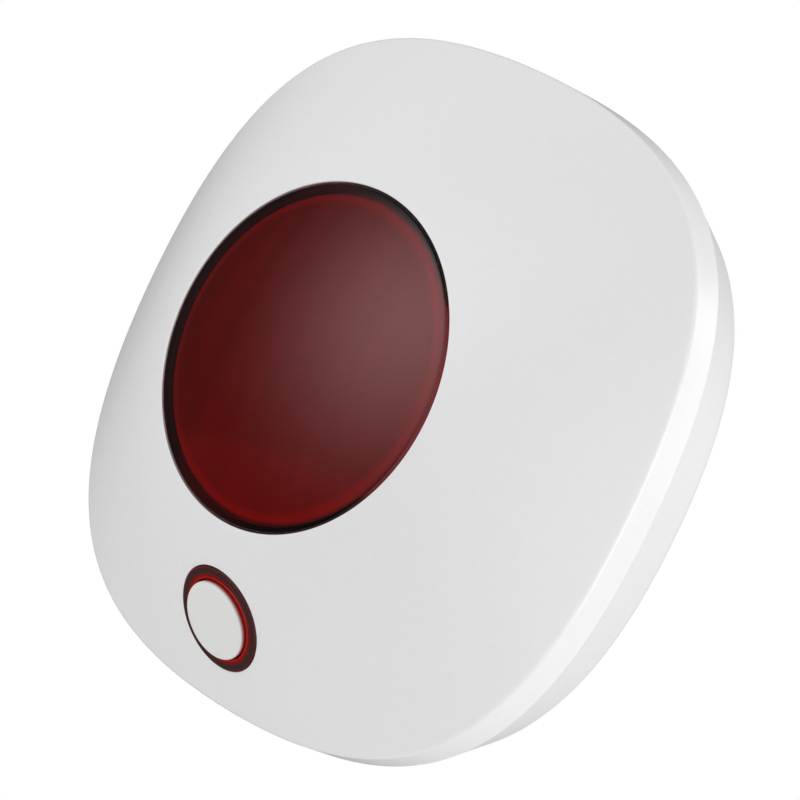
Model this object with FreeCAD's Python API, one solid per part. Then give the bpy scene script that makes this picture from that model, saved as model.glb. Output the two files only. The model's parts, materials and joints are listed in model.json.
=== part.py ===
import FreeCAD, Part
import math
import os

V = FreeCAD.Vector

# A wall-mounted strobe siren. Millimetres and degrees.
# The pieces are laid out on the bench, lying on their back: x to the right, y up the wall,
# and the height above the wall as z. At the end everything is stood up, so that Z is up,
# the front faces -Y and the wall is the plane Y = 0.

# Outline and dome
outline_half = 60.0
outline_fullness = 0.717
dome_rise = 21.0
lens_edge_slope = 24.1
crease_slope = 42.2
crease_width = 0.9
side_wall_height = 6.0
shell_wall = 2.2
hollow_bands = 3
cut_past = 3.0
dome_run_on = 0.12

# Rear shell
rear_depth = 15.0
rear_inset = 5.3
rear_fullness = 0.70
rear_wall = 2.4
back_wall = 2.4
back_edge_radius = 3.2
back_edge_bands = 3
seam_groove = 0.3
lip_height = 2.4
lip_wall = 1.2
lip_clearance = 0.15

# Strobe lens, diffuser and reflector
lens_margin = 29.7
lens_gap = 0.2
lens_crown_radius = 80.0
lens_wall = 2.0
lens_skirt_wall = 1.5
lens_rim_chamfer = 0.4
inner_crown_bands = 2
lens_flange_width = 2.3
lens_flange_thickness = 1.6
lens_seat_clearance = 0.3
diffuser_gap = 0.4
diffuser_wall = 1.4
reflector_wall = 1.4
reflector_rim_width = 7.4
reflector_eye_radius = 9.0
reflector_bowl_depth = 6.0
reflector_ear_drop = 6.4
reflector_ear_radius = 3.2
reflector_ear_gap = 1.0
hole_spare = 0.5
reflector_screw_count = 3

# Strobe board
strobe_board_margin = 1.0
strobe_board_thickness = 1.6
strobe_led_count = 6
strobe_led_ring = 5.2
strobe_led_size = 3.0
strobe_led_height = 1.0
strobe_post_inset = 5.0
strobe_post_radius = 2.4

# Button, its light ring and its small board
button_offset = 15.7
light_ring_radius = 9.5
light_ring_gap = 0.1
light_ring_flange_width = 1.3
light_ring_flange_thickness = 1.2
light_ring_seat_depth = 4.4
cap_radius = 7.0
cap_gap = 0.2
cap_proud = 1.1
cap_crown = 0.5
cap_edge_chamfer = 0.5
cap_wall = 1.4
cap_flange_width = 1.4
cap_flange_thickness = 1.0
cap_stop_gap = 0.3
cap_stem_radius = 2.2
cap_stem_below_flange = 2.2
button_travel = 0.8
tact_size = 6.0
tact_height = 3.5
tact_plunger_radius = 1.7
tact_plunger_reach = 1.3
tact_plunger_depth = 1.5
tact_plunger_gap = 0.15
tact_floor_gap = 0.4
button_board_half_width = 5.2
button_board_thickness = 1.4
button_post_radius = 2.6
button_post_offset = 15.0
button_collar_margin = 0.6
button_board_margin = 0.6
button_board_corner = 1.5
guide_leg_width = 1.8
guide_leg_breadth = 3.2
guide_leg_gap = 0.4
guide_leg_root = 0.4
status_led_height = 0.8

# Screws: head radius, head height, shank radius, clearance of the hole
case_head_radius = 2.8
case_head_height = 2.0
case_shank_radius = 1.4
case_screw_length = 14.0
small_head_radius = 2.2
small_head_height = 1.4
small_shank_radius = 1.1
small_screw_length = 5.0
thread_clearance = 0.05
head_clearance = 0.4
drive_slot_width = 0.7
drive_slot_depth = 0.7
drive_slot_share = 0.6
screw_head_taper = 0.5

# Screw columns and posts
case_column_radius = 4.6
case_boss_radius = 3.4
case_column_height = 10.0
case_floor = 4.0
case_column_margin = 1.7
post_radius = 2.6

# Main board and what it carries
board_below_parting = 1.0
board_thickness = 1.6
board_top_margin = 26.0
board_clearance = 0.5
board_corner = 8.0
board_post_inset = 4.4
board_post_drop = 7.0
board_post_below_siren = 3.0

# Siren sounder
siren_side_margin = 11.1
siren_wall = 1.6
siren_jack_gap = 10.3
siren_gasket = 1.0
siren_below_board = 1.8
siren_cover = 1.2
siren_shelf_width = 2.6
siren_chamber_height = 2.0
siren_throat_height = 2.2
piezo_thickness = 0.5
piezo_gap = 0.2
ceramic_inset = 8.0
ceramic_thickness = 0.4
siren_seat_wall = 1.2
siren_seat_height = 2.6
siren_seat_gap = 0.2
hook_width = 5.0
hook_nose = 0.9
hook_count = 3
hook_turn = 30.0

# Sound outlets
grille_inset = 5.5
grille_slot = 2.0
grille_pitch = 4.2
grille_end_share = 0.49
channel_depth = 1.0
channel_half_width = 16.0
channel_corner = 3.0
vent_count = 5
vent_width = 1.6
vent_pitch = 3.4
vent_low = 4.0
vent_high = 11.0

# Backup battery
battery_post_gap = 1.1
battery_top_margin = 1.5
battery_thickness = 9.0
battery_siren_gap = 2.1
battery_pad = 0.6
battery_edge = 3.0
battery_rib = 1.4
battery_rib_height = 5.0
battery_rib_length = 8.0
battery_play = 0.3

# Power inlet
jack_x = 14.5
jack_width = 9.0
jack_body_height = 9.4
jack_length = 11.0
jack_nose_radius = 4.0
jack_nose_gap = 0.2
jack_bore_radius = 3.1
jack_bore_depth = 9.0
jack_pin_radius = 1.0
jack_pin_setback = 1.0
jack_setback = 0.2
jack_clearance = 0.3

# Power switch
switch_x = -14.5
switch_width = 8.6
switch_depth = 4.4
switch_height = 4.8
switch_travel = 2.0
switch_knob_width = 1.8
switch_knob_height = 1.6
switch_knob_depth = 2.0
switch_knob_proud = 0.6
switch_gap = 0.3

# Tamper switch
tamper_battery_gap = 1.0
tamper_drop = 0.5
tamper_size = 6.0
tamper_switch_height = 4.0
tamper_plunger_radius = 1.7
tamper_plunger_gap = 0.15
tamper_travel = 1.2
tamper_guide_wall = 1.4
tamper_spare = 0.2
tamper_collar_width = 0.9
tamper_collar_thickness = 1.0
tamper_stop_gap = 0.3
tamper_plunger_depth = 1.4

# Keyholes for the wall screws
keyhole_margin = 22.0
keyhole_y = 8.0
keyhole_head_radius = 4.2
keyhole_slot_radius = 2.2
keyhole_rise = 9.0
keyhole_pocket = 5.2
keyhole_pocket_wall = 1.2

# Components of the main board: places, and sizes as width, breadth and height
chip_x = 4.0
chip_drop = 26.0
chip_body = (6.0, 10.0, 1.6)
chip_lift = 0.2
chip_leg_count = 8
chip_leg_pitch = 1.27
chip_leg_span = 9.0
chip_leg_width = 0.5
chip_leg_thickness = 0.6
radio_antenna_gap = 6.5
radio_drop = 20.0
radio_card = (1.0, 22.0, 9.0)
radio_can = (2.2, 9.0, 5.5)
radio_can_lift = 2.0
antenna_side_margin = 5.6
antenna_drop = 10.0
antenna_span = 36.0
antenna_height = 8.0
antenna_radius = 0.5
coil_side_margin = 14.1
coil_drop = 42.0
coil_foot = 9.0
coil_foot_height = 1.0
coil_flange_radius = 4.4
coil_flange_height = 1.2
coil_waist_radius = 3.4
coil_waist_height = 3.6
coil_slope_height = 0.6
can_drop = 44.0
can_sizes = ((24.0, 4.0, 9.0), (14.0, 3.2, 7.5))
can_chamfer = 0.4
header_side_margin = 4.6
header_side_drop = 14.0
header_top_drop = 8.0
strobe_header_x = -4.0
strobe_header_drop = 15.5
button_coil_gap = 8.0
battery_radio_gap = 4.5
header_body = (7.0, 5.0, 5.5)
header_wall = 0.8
header_floor = 1.2
status_led_size = (1.6, 2.4)

# Leads: two wires side by side that end in a plug
lead_radius = 0.6
lead_pitch = 1.6
lead_gap = 0.3
lead_clearance = 1.0
lead_level = 7.4
plug_play = 0.1
plug_height = 5.0
strobe_lead_inset = 9.5
button_lead_offset = 3.0
strobe_led_window_share = 0.38
strobe_led_window_depth = 0.2
cover_notch = (3.0, 6.0)

# Heights and places that follow from the sizes above
circle_fullness = 4.0 / 3.0 * (math.sqrt(2.0) - 1.0)
parting_height = rear_depth
crease_height = parting_height + side_wall_height
lens_edge_height = crease_height + dome_rise
lens_opening_radius = outline_half - lens_margin
lens_radius = lens_opening_radius - lens_gap
lens_flange_radius = lens_radius + lens_flange_width
reflector_bowl_radius = lens_flange_radius - reflector_rim_width
strobe_board_radius = reflector_bowl_radius - strobe_board_margin
strobe_post_ring = strobe_board_radius - strobe_post_inset
button_distance = lens_opening_radius + button_offset


def tangent_crossing(first, first_slope, second, second_slope):
    """Where two falling tangents meet, for points given as (radius, height)."""
    first_fall = math.tan(math.radians(first_slope))
    second_fall = math.tan(math.radians(second_slope))
    reach = first[1] - second[1] + first_fall * first[0] - second_fall * second[0]
    radius = reach / (first_fall - second_fall)
    return radius, first[1] - first_fall * (radius - first[0])


def dome_rings(inset):
    """Three control outlines of the dome, as (half size, shoulder, height).

    The meridian leaves the lens at one slope and meets the crease at a steeper one.
    The outlines go from a circle at the lens to the rounded square at the crease.
    """
    lens_turn = math.radians(lens_edge_slope)
    crease_turn = math.radians(crease_slope)
    start = (
        lens_opening_radius - inset * math.sin(lens_turn),
        lens_edge_height - inset * math.cos(lens_turn),
    )
    rise_to_wall = inset * (1.0 - math.sin(crease_turn)) * math.tan(crease_turn)
    end = (outline_half - inset, crease_height - inset * math.cos(crease_turn) + rise_to_wall)
    middle = tangent_crossing(start, lens_edge_slope, end, crease_slope)
    return [
        (start[0], start[0] * circle_fullness, start[1]),
        (middle[0], middle[0] * circle_fullness, middle[1]),
        (end[0], end[0] * outline_fullness, end[1]),
    ]


def along_rings(rings, first, second):
    """Control outline of the stretch of the dome between two places, 0 lens and 1 crease."""
    weights = (
        (1.0 - first) * (1.0 - second),
        (1.0 - first) * second + first * (1.0 - second),
        first * second,
    )
    return tuple(sum(w * ring[i] for w, ring in zip(weights, rings)) for i in range(3))


def place_at_radius(rings, radius):
    """How far along the dome, from 0 at the lens, its half size is the radius."""
    square = rings[0][0] - 2.0 * rings[1][0] + rings[2][0]
    linear = 2.0 * (rings[1][0] - rings[0][0])
    rest = rings[0][0] - radius
    return (-linear + math.sqrt(linear * linear - 4.0 * square * rest)) / (2.0 * square)


def dome_height(radius, inset=0.0):
    """Height of the dome over one of the axes, or of the skin that lies inset below it."""
    rings = dome_rings(inset)
    place = place_at_radius(rings, radius)
    return along_rings(rings, place, place)[2]


def dome_slope(radius):
    """Slope of the dome over one of the axes, in degrees below level."""
    rings = dome_rings(0.0)
    place = place_at_radius(rings, radius)
    low = along_rings(rings, place, 0.0)
    high = along_rings(rings, place, 1.0)
    return math.degrees(math.atan2(low[2] - high[2], high[0] - low[0]))


def rear_half(height):
    """Half size of the rear shell's outside at a height."""
    return outline_half - rear_inset * (parting_height - height) / rear_depth


def rear_inner_half(height):
    """Half size of the rear shell's inside at a height."""
    taper = math.atan2(rear_inset, rear_depth)
    return rear_half(height) - rear_wall / math.cos(taper)


def outline_reach(half, sideways):
    """How far the rear shell's outline of this half size reaches, so far off its middle."""
    shoulder = half * rear_fullness
    near, far = 0.0, 1.0
    for step in range(40):
        place = (near + far) / 2.0
        back = 1.0 - place
        across = 3.0 * back * place * (back * shoulder + place * half) + half * place**3
        if across < sideways:
            near = place
        else:
            far = place
    return half * back**2 * (back + 3.0 * place) + 3.0 * shoulder * back * place**2


lens_seat_height = dome_height(lens_flange_radius, shell_wall) - lens_seat_clearance
reflector_top = lens_seat_height - lens_flange_thickness
reflector_ear_top = reflector_top - reflector_ear_drop
reflector_ear_low = reflector_ear_top - reflector_wall
reflector_bowl_low = reflector_top - reflector_bowl_depth
strobe_board_top = reflector_bowl_low - reflector_wall
strobe_board_low = strobe_board_top - strobe_board_thickness
reflector_ear_ring = lens_flange_radius + reflector_ear_gap + post_radius
back_corner = (outline_half - rear_inset) * (4.0 + 3.0 * rear_fullness) / 8.0
column_inset = back_edge_radius + case_column_radius + case_column_margin - seam_groove
case_offset = back_corner - column_inset / math.sqrt(2.0)
board_half_width = case_offset - case_column_radius - board_clearance
board_height = parting_height - board_below_parting
board_surface = board_height + board_thickness
board_post_x = board_half_width - board_post_inset
board_top = outline_half - board_top_margin
board_post_top = board_top - board_post_drop
jack_low = board_height - jack_body_height
jack_side = jack_x + jack_width / 2.0
jack_face = jack_clearance - outline_reach(rear_inner_half(jack_low), jack_side)
jack_axis = board_height - jack_body_height / 2.0
jack_nose_side = jack_x + jack_nose_radius
jack_nose_face = jack_setback - outline_reach(rear_half(jack_axis - jack_nose_radius), jack_nose_side)
switch_low = board_height - switch_height
switch_middle = board_height - switch_height / 2.0
switch_side = switch_width / 2.0 - switch_x
switch_face = jack_clearance - outline_reach(rear_inner_half(switch_low), switch_side)
siren_radius = board_half_width - siren_side_margin
siren_seat_radius = siren_radius + siren_seat_gap + siren_seat_wall
siren_y = jack_face + siren_jack_gap + siren_seat_radius
board_post_bottom = siren_y - board_post_below_siren
ceramic_radius = siren_radius - ceramic_inset
grille_radius = siren_radius - grille_inset
siren_low = back_wall + siren_gasket
siren_top = board_height - siren_below_board
siren_shelf = siren_top - siren_cover - siren_chamber_height
battery_low = back_wall + battery_pad
battery_width = 2.0 * (board_post_x - post_radius - battery_post_gap)
battery_bottom = siren_y + siren_seat_radius + battery_siren_gap
battery_length = board_top - battery_top_margin - battery_bottom
tamper_x = battery_width / 2.0 + tamper_battery_gap + tamper_size / 2.0
tamper_y = battery_bottom - tamper_drop
tamper_collar_top = board_height - tamper_switch_height - tamper_travel - tamper_spare
tamper_guide_height = tamper_collar_top - tamper_collar_thickness - tamper_stop_gap
keyhole_x = outline_half - keyhole_margin
antenna_x = antenna_side_margin - board_half_width
antenna_high_y = board_top - antenna_drop
antenna_low_y = antenna_high_y - antenna_span
header_side_x = board_half_width - header_side_margin
header_top_y = board_top - header_top_drop
siren_notch_y = siren_y + siren_radius - siren_wall - piezo_gap - lead_radius - lead_pitch / 2.0
header_places = [(header_side_x, board_top - header_side_drop), (header_side_x, siren_notch_y)]
coil_x = board_half_width - coil_side_margin
radio_x = antenna_x + radio_antenna_gap
button_header_x = coil_x - button_coil_gap
battery_header_x = radio_x + battery_radio_gap
strobe_header_y = board_top - strobe_header_drop
header_places += [(button_header_x, header_top_y), (battery_header_x, header_top_y)]
header_places.append((strobe_header_x, strobe_header_y))
lead_height = board_surface + lead_level
lead_end = board_surface + header_floor + lead_gap
cap_bore_radius = cap_radius + cap_gap
ring_low = -light_ring_seat_depth - light_ring_flange_thickness
cap_flange_top = ring_low - cap_stop_gap
cap_flange_low = cap_flange_top - cap_flange_thickness
stem_low = cap_flange_low - cap_stem_below_flange
tact_top = stem_low - tact_plunger_reach
button_board_top = tact_top - tact_height
button_board_low = button_board_top - button_board_thickness
button_slope = dome_slope(button_distance)
button_height = dome_height(button_distance)


def closed_edges(half, shoulder, height):
    """The four curved sides of one outline, as edges."""
    edges = []
    for turn in range(4):
        curve = Part.BezierCurve()
        curve.setPoles(quarter_points((half, shoulder, height), turn))
        edges.append(curve.toShape())
    return edges


def quarter_points(ring, turn):
    """Control points of one quarter of an outline, turned by so many quarter turns."""
    half, shoulder, height = ring
    quarter = [(half, 0.0), (half, shoulder), (shoulder, half), (0.0, half)]
    for step in range(turn):
        quarter = [(-y, x) for x, y in quarter]
    return [V(x, y, height) for x, y in quarter]


def outline_face(half, shoulder, height):
    """A flat face inside one outline."""
    return Part.Face(Part.Wire(closed_edges(half, shoulder, height)))


def skin(bands):
    """A closed solid whose side is bands of patches between control outlines.

    A band with two outlines is straight, and one with three is curved.
    """
    faces = []
    for rings in bands:
        for turn in range(4):
            patch = Part.BezierSurface()
            patch.increase(3, len(rings) - 1)
            for column, ring in enumerate(rings):
                for row, point in enumerate(quarter_points(ring, turn)):
                    patch.setPole(row + 1, column + 1, point)
            faces.append(patch.toShape())
    faces.append(outline_face(*bands[0][0]))
    faces.append(outline_face(*bands[-1][-1]))
    shell = Part.makeShell(faces)
    shell.sewShape()
    solid = Part.makeSolid(shell)
    if solid.Volume < 0.0:
        solid.reverse()
    return solid


def dome_solid(inset, base):
    """The dome and its upright side wall as one filled solid, inset from the outside.

    The dome is carried on past the lens opening, so that the opening can be cut through it.
    """
    rings = dome_rings(inset)
    edge = place_at_radius(rings, rings[2][0] - crease_width / 2.0)
    dome = [
        along_rings(rings, edge, edge),
        along_rings(rings, -dome_run_on, edge),
        along_rings(rings, -dome_run_on, -dome_run_on),
    ]
    half, shoulder, height = rings[2]
    foot = (half, shoulder, base)
    wall_top = (half, shoulder, height - crease_width / 2.0)
    return skin([[foot, wall_top], [wall_top, dome[0]], dome])


def dome_hollow(inset, base):
    """The inside of the dome: straight bands between outlines that lie on its inner skin."""
    rings = dome_rings(inset)
    outlines = [(rings[2][0], rings[2][1], base)]
    for index in range(hollow_bands + 1):
        place = 1.0 - (1.0 + dome_run_on) * index / hollow_bands
        outlines.append(along_rings(rings, place, place))
    return skin([list(pair) for pair in zip(outlines, outlines[1:])])


def rod(radius, low, high, x=0.0, y=0.0):
    """An upright cylinder between two heights."""
    return Part.makeCylinder(radius, high - low, V(x, y, low))


def tube(radius, bore, low, high, x=0.0, y=0.0):
    """An upright cylinder with a hole through it."""
    return rod(radius, low, high, x, y).cut(rod(bore, low, high, x, y))


def block(width, breadth, low, high, x=0.0, y=0.0):
    """A block centred on a place, between two heights."""
    corner = V(x - width / 2.0, y - breadth / 2.0, low)
    return Part.makeBox(width, breadth, high - low, corner)


def soft_block(width, breadth, low, high, x, y, radius):
    """A block with its upright edges rounded."""
    solid = block(width, breadth, low, high, x, y)
    upright = [e for e in solid.Edges if abs(e.BoundBox.ZLength - (high - low)) < 1e-6]
    return solid.makeFillet(radius, upright)


def turned(points):
    """A solid turned about the z axis from a closed profile of (radius, height) points.

    A point given as (radius, height, "arc") is passed through on the way to the next one.
    """
    edges = []
    places = [V(p[0], 0.0, p[1]) for p in points]
    count = len(points)
    index = 0
    while index < count:
        following = (index + 1) % count
        if len(points[following]) == 3:
            last = (index + 2) % count
            arc = Part.Arc(places[index], places[following], places[last])
            edges.append(arc.toShape())
            index += 2
        else:
            edges.append(Part.LineSegment(places[index], places[following]).toShape())
            index += 1
    face = Part.Face(Part.Wire(edges))
    return face.revolve(V(0, 0, 0), V(0, 0, 1), 360)


def sphere_drop(crown_radius, radius):
    """How far a crowned surface falls from its top to a radius."""
    return crown_radius - math.sqrt(crown_radius * crown_radius - radius * radius)


def ring_places(count, radius, start=90.0):
    """Evenly spaced places on a circle."""
    places = []
    for index in range(count):
        angle = math.radians(start + 360.0 * index / count)
        places.append((radius * math.cos(angle), radius * math.sin(angle)))
    return places


def screw(head_radius, head_height, shank_radius, length, x, y, seat, points_up):
    """A pan-head screw whose head sits under or on the seat height, with a cross recess."""
    low = seat - head_height
    taper = head_height * screw_head_taper
    crown = Part.makeCone(head_radius - taper, head_radius, taper, V(x, y, low))
    head = crown.fuse(rod(head_radius, low + taper, seat, x, y))
    shank = rod(shank_radius, seat, seat + length, x, y)
    reach = 2.0 * head_radius * drive_slot_share
    across = block(reach, drive_slot_width, low, low + drive_slot_depth, x, y)
    along = block(drive_slot_width, reach, low, low + drive_slot_depth, x, y)
    solid = head.fuse(shank).cut(across.fuse(along)).removeSplitter()
    if not points_up:
        solid = solid.mirror(V(0, 0, seat), V(0, 0, 1))
    return solid


def small_screw(x, y, seat, points_up=True):
    """One of the small screws that hold the boards and the reflector."""
    return screw(
        small_head_radius,
        small_head_height,
        small_shank_radius,
        small_screw_length,
        x,
        y,
        seat,
        points_up,
    )


def at_button(shape):
    """Moves a shape from the button's own frame to its place on the dome.

    In that frame z is the button's axis, outwards, with the dome's surface at z = 0,
    x points to the right and y up the dome.
    """
    placed = shape.copy()
    placed.rotate(V(0, 0, 0), V(1, 0, 0), button_slope)
    placed.translate(V(0, -button_distance, button_height))
    return placed


def group(shapes):
    """Several separate solids in one node."""
    return Part.makeCompound(shapes)


case_places = [
    (case_offset, case_offset),
    (-case_offset, case_offset),
    (-case_offset, -case_offset),
    (case_offset, -case_offset),
]
board_post_places = [
    (board_post_x, board_post_top),
    (-board_post_x, board_post_top),
    (-board_post_x, board_post_bottom),
    (board_post_x, board_post_bottom),
]
ear_places = ring_places(reflector_screw_count, reflector_ear_ring)
strobe_post_places = ring_places(reflector_screw_count, strobe_post_ring)
button_post_places = [(button_post_offset, 0.0), (-button_post_offset, 0.0)]


def front_shell():
    """The domed front moulding, with its lens seat, bosses and button collar."""
    shell = dome_solid(0.0, parting_height).cut(dome_hollow(shell_wall, parting_height - cut_past))
    top = lens_edge_height
    inside = [rod(lens_flange_radius + lens_seat_clearance, lens_seat_height, top)]
    for x, y in ear_places:
        inside.append(rod(post_radius, reflector_ear_top, top, x, y))
    for x, y in case_places:
        inside.append(rod(case_boss_radius, case_column_height, top, x, y))
    collar_radius = light_ring_radius + light_ring_flange_width + button_collar_margin
    inside.append(at_button(rod(collar_radius, -light_ring_seat_depth, 0.0)))
    for x, y in button_post_places:
        inside.append(at_button(rod(button_post_radius, button_board_top, 0.0, x, y)))
    features = inside[0].multiFuse(inside[1:])
    features = features.common(dome_hollow(shell_wall / 2.0, 0.0))
    shell = shell.fuse(features)
    holes = [rod(lens_opening_radius, parting_height, top + cut_past)]
    hole_depth = small_screw_length - reflector_wall + hole_spare
    for x, y in ear_places:
        low = reflector_ear_top
        holes.append(rod(small_shank_radius + thread_clearance, low, low + hole_depth, x, y))
    for x, y in case_places:
        low = case_column_height
        depth = case_screw_length - case_floor + hole_spare
        holes.append(rod(case_shank_radius + thread_clearance, low, low + depth, x, y))
    ring_hole = light_ring_radius + light_ring_gap
    holes.append(at_button(rod(ring_hole, -light_ring_seat_depth - cut_past, cut_past)))
    for x, y in button_post_places:
        low = button_board_top
        hole_radius = small_shank_radius + thread_clearance
        depth = small_screw_length - button_board_thickness + hole_spare
        holes.append(at_button(rod(hole_radius, low, low + depth, x, y)))
    return shell.cut(holes[0].multiFuse(holes[1:])).removeSplitter()


def crown_bands(crown_radius, top, radius):
    """Points of a crowned surface, from its edge to its top, a few straight bands apart."""
    points = []
    for index in range(inner_crown_bands + 1):
        reach = radius * (1.0 - index / inner_crown_bands)
        points.append((reach, top - sphere_drop(crown_radius, reach)))
    return points


def strobe_lens():
    """The crowned red lens: a cup with a flange that is trapped behind the opening."""
    crown_top = lens_edge_height + sphere_drop(lens_crown_radius, lens_radius)
    crown_edge = lens_radius - lens_rim_chamfer
    half = crown_edge / 2.0
    low = lens_seat_height - lens_flange_thickness
    inner_radius = lens_radius - lens_skirt_wall
    inside = crown_bands(lens_crown_radius - lens_wall, crown_top - lens_wall, inner_radius)
    outside = [
        (0.0, crown_top),
        (half, crown_top - sphere_drop(lens_crown_radius, half), "arc"),
        (crown_edge, crown_top - sphere_drop(lens_crown_radius, crown_edge)),
        (lens_radius, lens_edge_height - lens_rim_chamfer),
        (lens_radius, lens_seat_height),
        (lens_flange_radius, lens_seat_height),
        (lens_flange_radius, low),
        (inner_radius, low),
    ]
    return turned(outside + inside)


def strobe_diffuser():
    """The frosted inner cup under the lens, standing on the reflector."""
    crown_top = lens_edge_height + sphere_drop(lens_crown_radius, lens_radius)
    crown = lens_crown_radius - lens_wall - diffuser_gap
    top = crown_top - lens_wall - diffuser_gap
    radius = lens_radius - lens_skirt_wall - diffuser_gap
    inner_radius = radius - diffuser_wall
    outside = crown_bands(crown, top, radius)
    inside = crown_bands(crown - diffuser_wall, top - diffuser_wall, inner_radius)
    foot = [(inner_radius, reflector_top), (radius, reflector_top)]
    return turned(outside + inside[::-1] + foot)


def strobe_reflector():
    """The white bowl behind the lens, with ears that screw it to the front shell."""
    skirt_inner = lens_flange_radius - reflector_wall
    flange_low = reflector_top - reflector_wall
    bowl = turned(
        [
            (lens_flange_radius, reflector_top),
            (lens_flange_radius, reflector_ear_low),
            (skirt_inner, reflector_ear_low),
            (skirt_inner, flange_low),
            (reflector_bowl_radius, flange_low),
            (reflector_eye_radius, reflector_bowl_low - reflector_wall),
            (reflector_eye_radius, reflector_bowl_low),
            (reflector_bowl_radius, reflector_top),
        ]
    )
    ears = []
    holes = []
    for x, y in ear_places:
        ears.append(rod(reflector_ear_radius, reflector_ear_low, reflector_ear_top, x, y))
        reach = math.hypot(x, y)
        arm = block(reach - skirt_inner, 2.0 * post_radius, reflector_ear_low, reflector_ear_top)
        arm.translate(V(skirt_inner + (reach - skirt_inner) / 2.0, 0, 0))
        arm.rotate(V(0, 0, 0), V(0, 0, 1), math.degrees(math.atan2(y, x)))
        ears.append(arm)
        hole = small_shank_radius + 2.0 * thread_clearance
        holes.append(rod(hole, reflector_ear_low, reflector_ear_top, x, y))
    posts = []
    hole_depth = small_screw_length - strobe_board_thickness + hole_spare
    post_top = reflector_top - reflector_wall / 2.0
    for x, y in strobe_post_places:
        posts.append(rod(strobe_post_radius, strobe_board_top, post_top, x, y))
        low = strobe_board_top
        holes.append(rod(small_shank_radius + thread_clearance, low, low + hole_depth, x, y))
    above = turned(
        [
            (0.0, reflector_bowl_low - reflector_wall / 2.0),
            (reflector_eye_radius, reflector_bowl_low - reflector_wall / 2.0),
            (reflector_bowl_radius, reflector_top - reflector_wall / 2.0),
            (reflector_bowl_radius, reflector_top + reflector_wall),
            (0.0, reflector_top + reflector_wall),
        ]
    )
    posts = posts[0].multiFuse(posts[1:]).cut(above)
    solid = bowl.multiFuse(ears + [posts])
    return solid.cut(holes[0].multiFuse(holes[1:])).removeSplitter()


def reflector_screws():
    """The screws that hold the reflector and, through it, the lens."""
    return group([small_screw(x, y, reflector_ear_low) for x, y in ear_places])


def strobe_board():
    """The round board that carries the flash lights."""
    board = rod(strobe_board_radius, strobe_board_low, strobe_board_top)
    for x, y in strobe_post_places:
        hole = small_shank_radius + 2.0 * thread_clearance
        board = board.cut(rod(hole, strobe_board_low, strobe_board_top, x, y))
    return board


def strobe_board_screws():
    """The screws that hold the strobe board under the reflector."""
    return group([small_screw(x, y, strobe_board_low) for x, y in strobe_post_places])


def strobe_leds():
    """The cluster of flash lights in the reflector's eye."""
    size = strobe_led_size
    low = strobe_board_top
    lights = []
    for x, y in [(0.0, 0.0)] + ring_places(strobe_led_count, strobe_led_ring):
        body = block(size, size, low, low + strobe_led_height, x, y)
        top = low + strobe_led_height
        window = rod(size * strobe_led_window_share, top - strobe_led_window_depth, top, x, y)
        lights.append(body.cut(window))
    return group(lights)


def light_ring():
    """The red ring round the button: it guides the cap and carries light to the rim."""
    flange_radius = light_ring_radius + light_ring_flange_width
    sleeve = tube(light_ring_radius, cap_bore_radius, ring_low, cut_past)
    flange = tube(flange_radius, cap_bore_radius, ring_low, -light_ring_seat_depth)
    pieces = [sleeve, flange]
    leg_low = button_board_top + status_led_height + guide_leg_gap
    leg_x = flange_radius - guide_leg_width / 2.0
    for side in (-1.0, 1.0):
        leg_top = ring_low + guide_leg_root
        pieces.append(block(guide_leg_width, guide_leg_breadth, leg_low, leg_top, side * leg_x))
    solid = at_button(pieces[0].multiFuse(pieces[1:]).removeSplitter())
    return solid.common(dome_solid(0.0, 0.0))


def button_cap():
    """The domed white cap, a cup with a stop flange and a stem for the switch."""
    edge_height = cap_proud - cap_crown
    crown = (cap_radius * cap_radius + cap_crown * cap_crown) / (2.0 * cap_crown)
    crown_edge = cap_radius - cap_edge_chamfer
    half = crown_edge / 2.0
    ceiling = edge_height - cap_wall
    bore = cap_radius - cap_wall
    cap = turned(
        [
            (0.0, cap_proud),
            (half, cap_proud - sphere_drop(crown, half), "arc"),
            (crown_edge, cap_proud - sphere_drop(crown, crown_edge)),
            (cap_radius, edge_height - cap_edge_chamfer),
            (cap_radius, cap_flange_top),
            (cap_radius + cap_flange_width, cap_flange_top),
            (cap_radius + cap_flange_width, cap_flange_low),
            (bore, cap_flange_low),
            (bore, ceiling),
            (cap_stem_radius, ceiling),
            (cap_stem_radius, stem_low),
            (0.0, stem_low),
        ]
    )
    return at_button(cap)


def tact_switch():
    """The small square push switch under the cap."""
    body = block(tact_size, tact_size, button_board_top, tact_top)
    well = tact_plunger_radius + tact_plunger_gap
    floor = tact_top - tact_plunger_depth - button_travel - tact_floor_gap
    return at_button(body.cut(rod(well, floor, tact_top)))


def tact_plunger():
    """The switch's own plunger, which the stem of the cap presses."""
    return at_button(rod(tact_plunger_radius, tact_top - tact_plunger_depth, stem_low))


def button_board():
    """The narrow board that carries the push switch and the status lights."""
    length = 2.0 * (button_post_offset + button_post_radius + button_board_margin)
    width = 2.0 * button_board_half_width
    low, top = button_board_low, button_board_top
    board = soft_block(length, width, low, top, 0.0, 0.0, button_board_corner)
    for x, y in button_post_places:
        hole = small_shank_radius + 2.0 * thread_clearance
        board = board.cut(rod(hole, button_board_low, button_board_top, x, y))
    return at_button(board)


def button_board_screws():
    """The two screws of the button board."""
    return at_button(group([small_screw(x, y, button_board_low) for x, y in button_post_places]))


def status_leds():
    """The two lights under the legs of the light ring."""
    leg_x = light_ring_radius + light_ring_flange_width - guide_leg_width / 2.0
    low = button_board_top
    width, breadth = status_led_size
    lights = []
    for side in (-1.0, 1.0):
        lights.append(block(width, breadth, low, low + status_led_height, side * leg_x))
    return at_button(group(lights))


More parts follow.
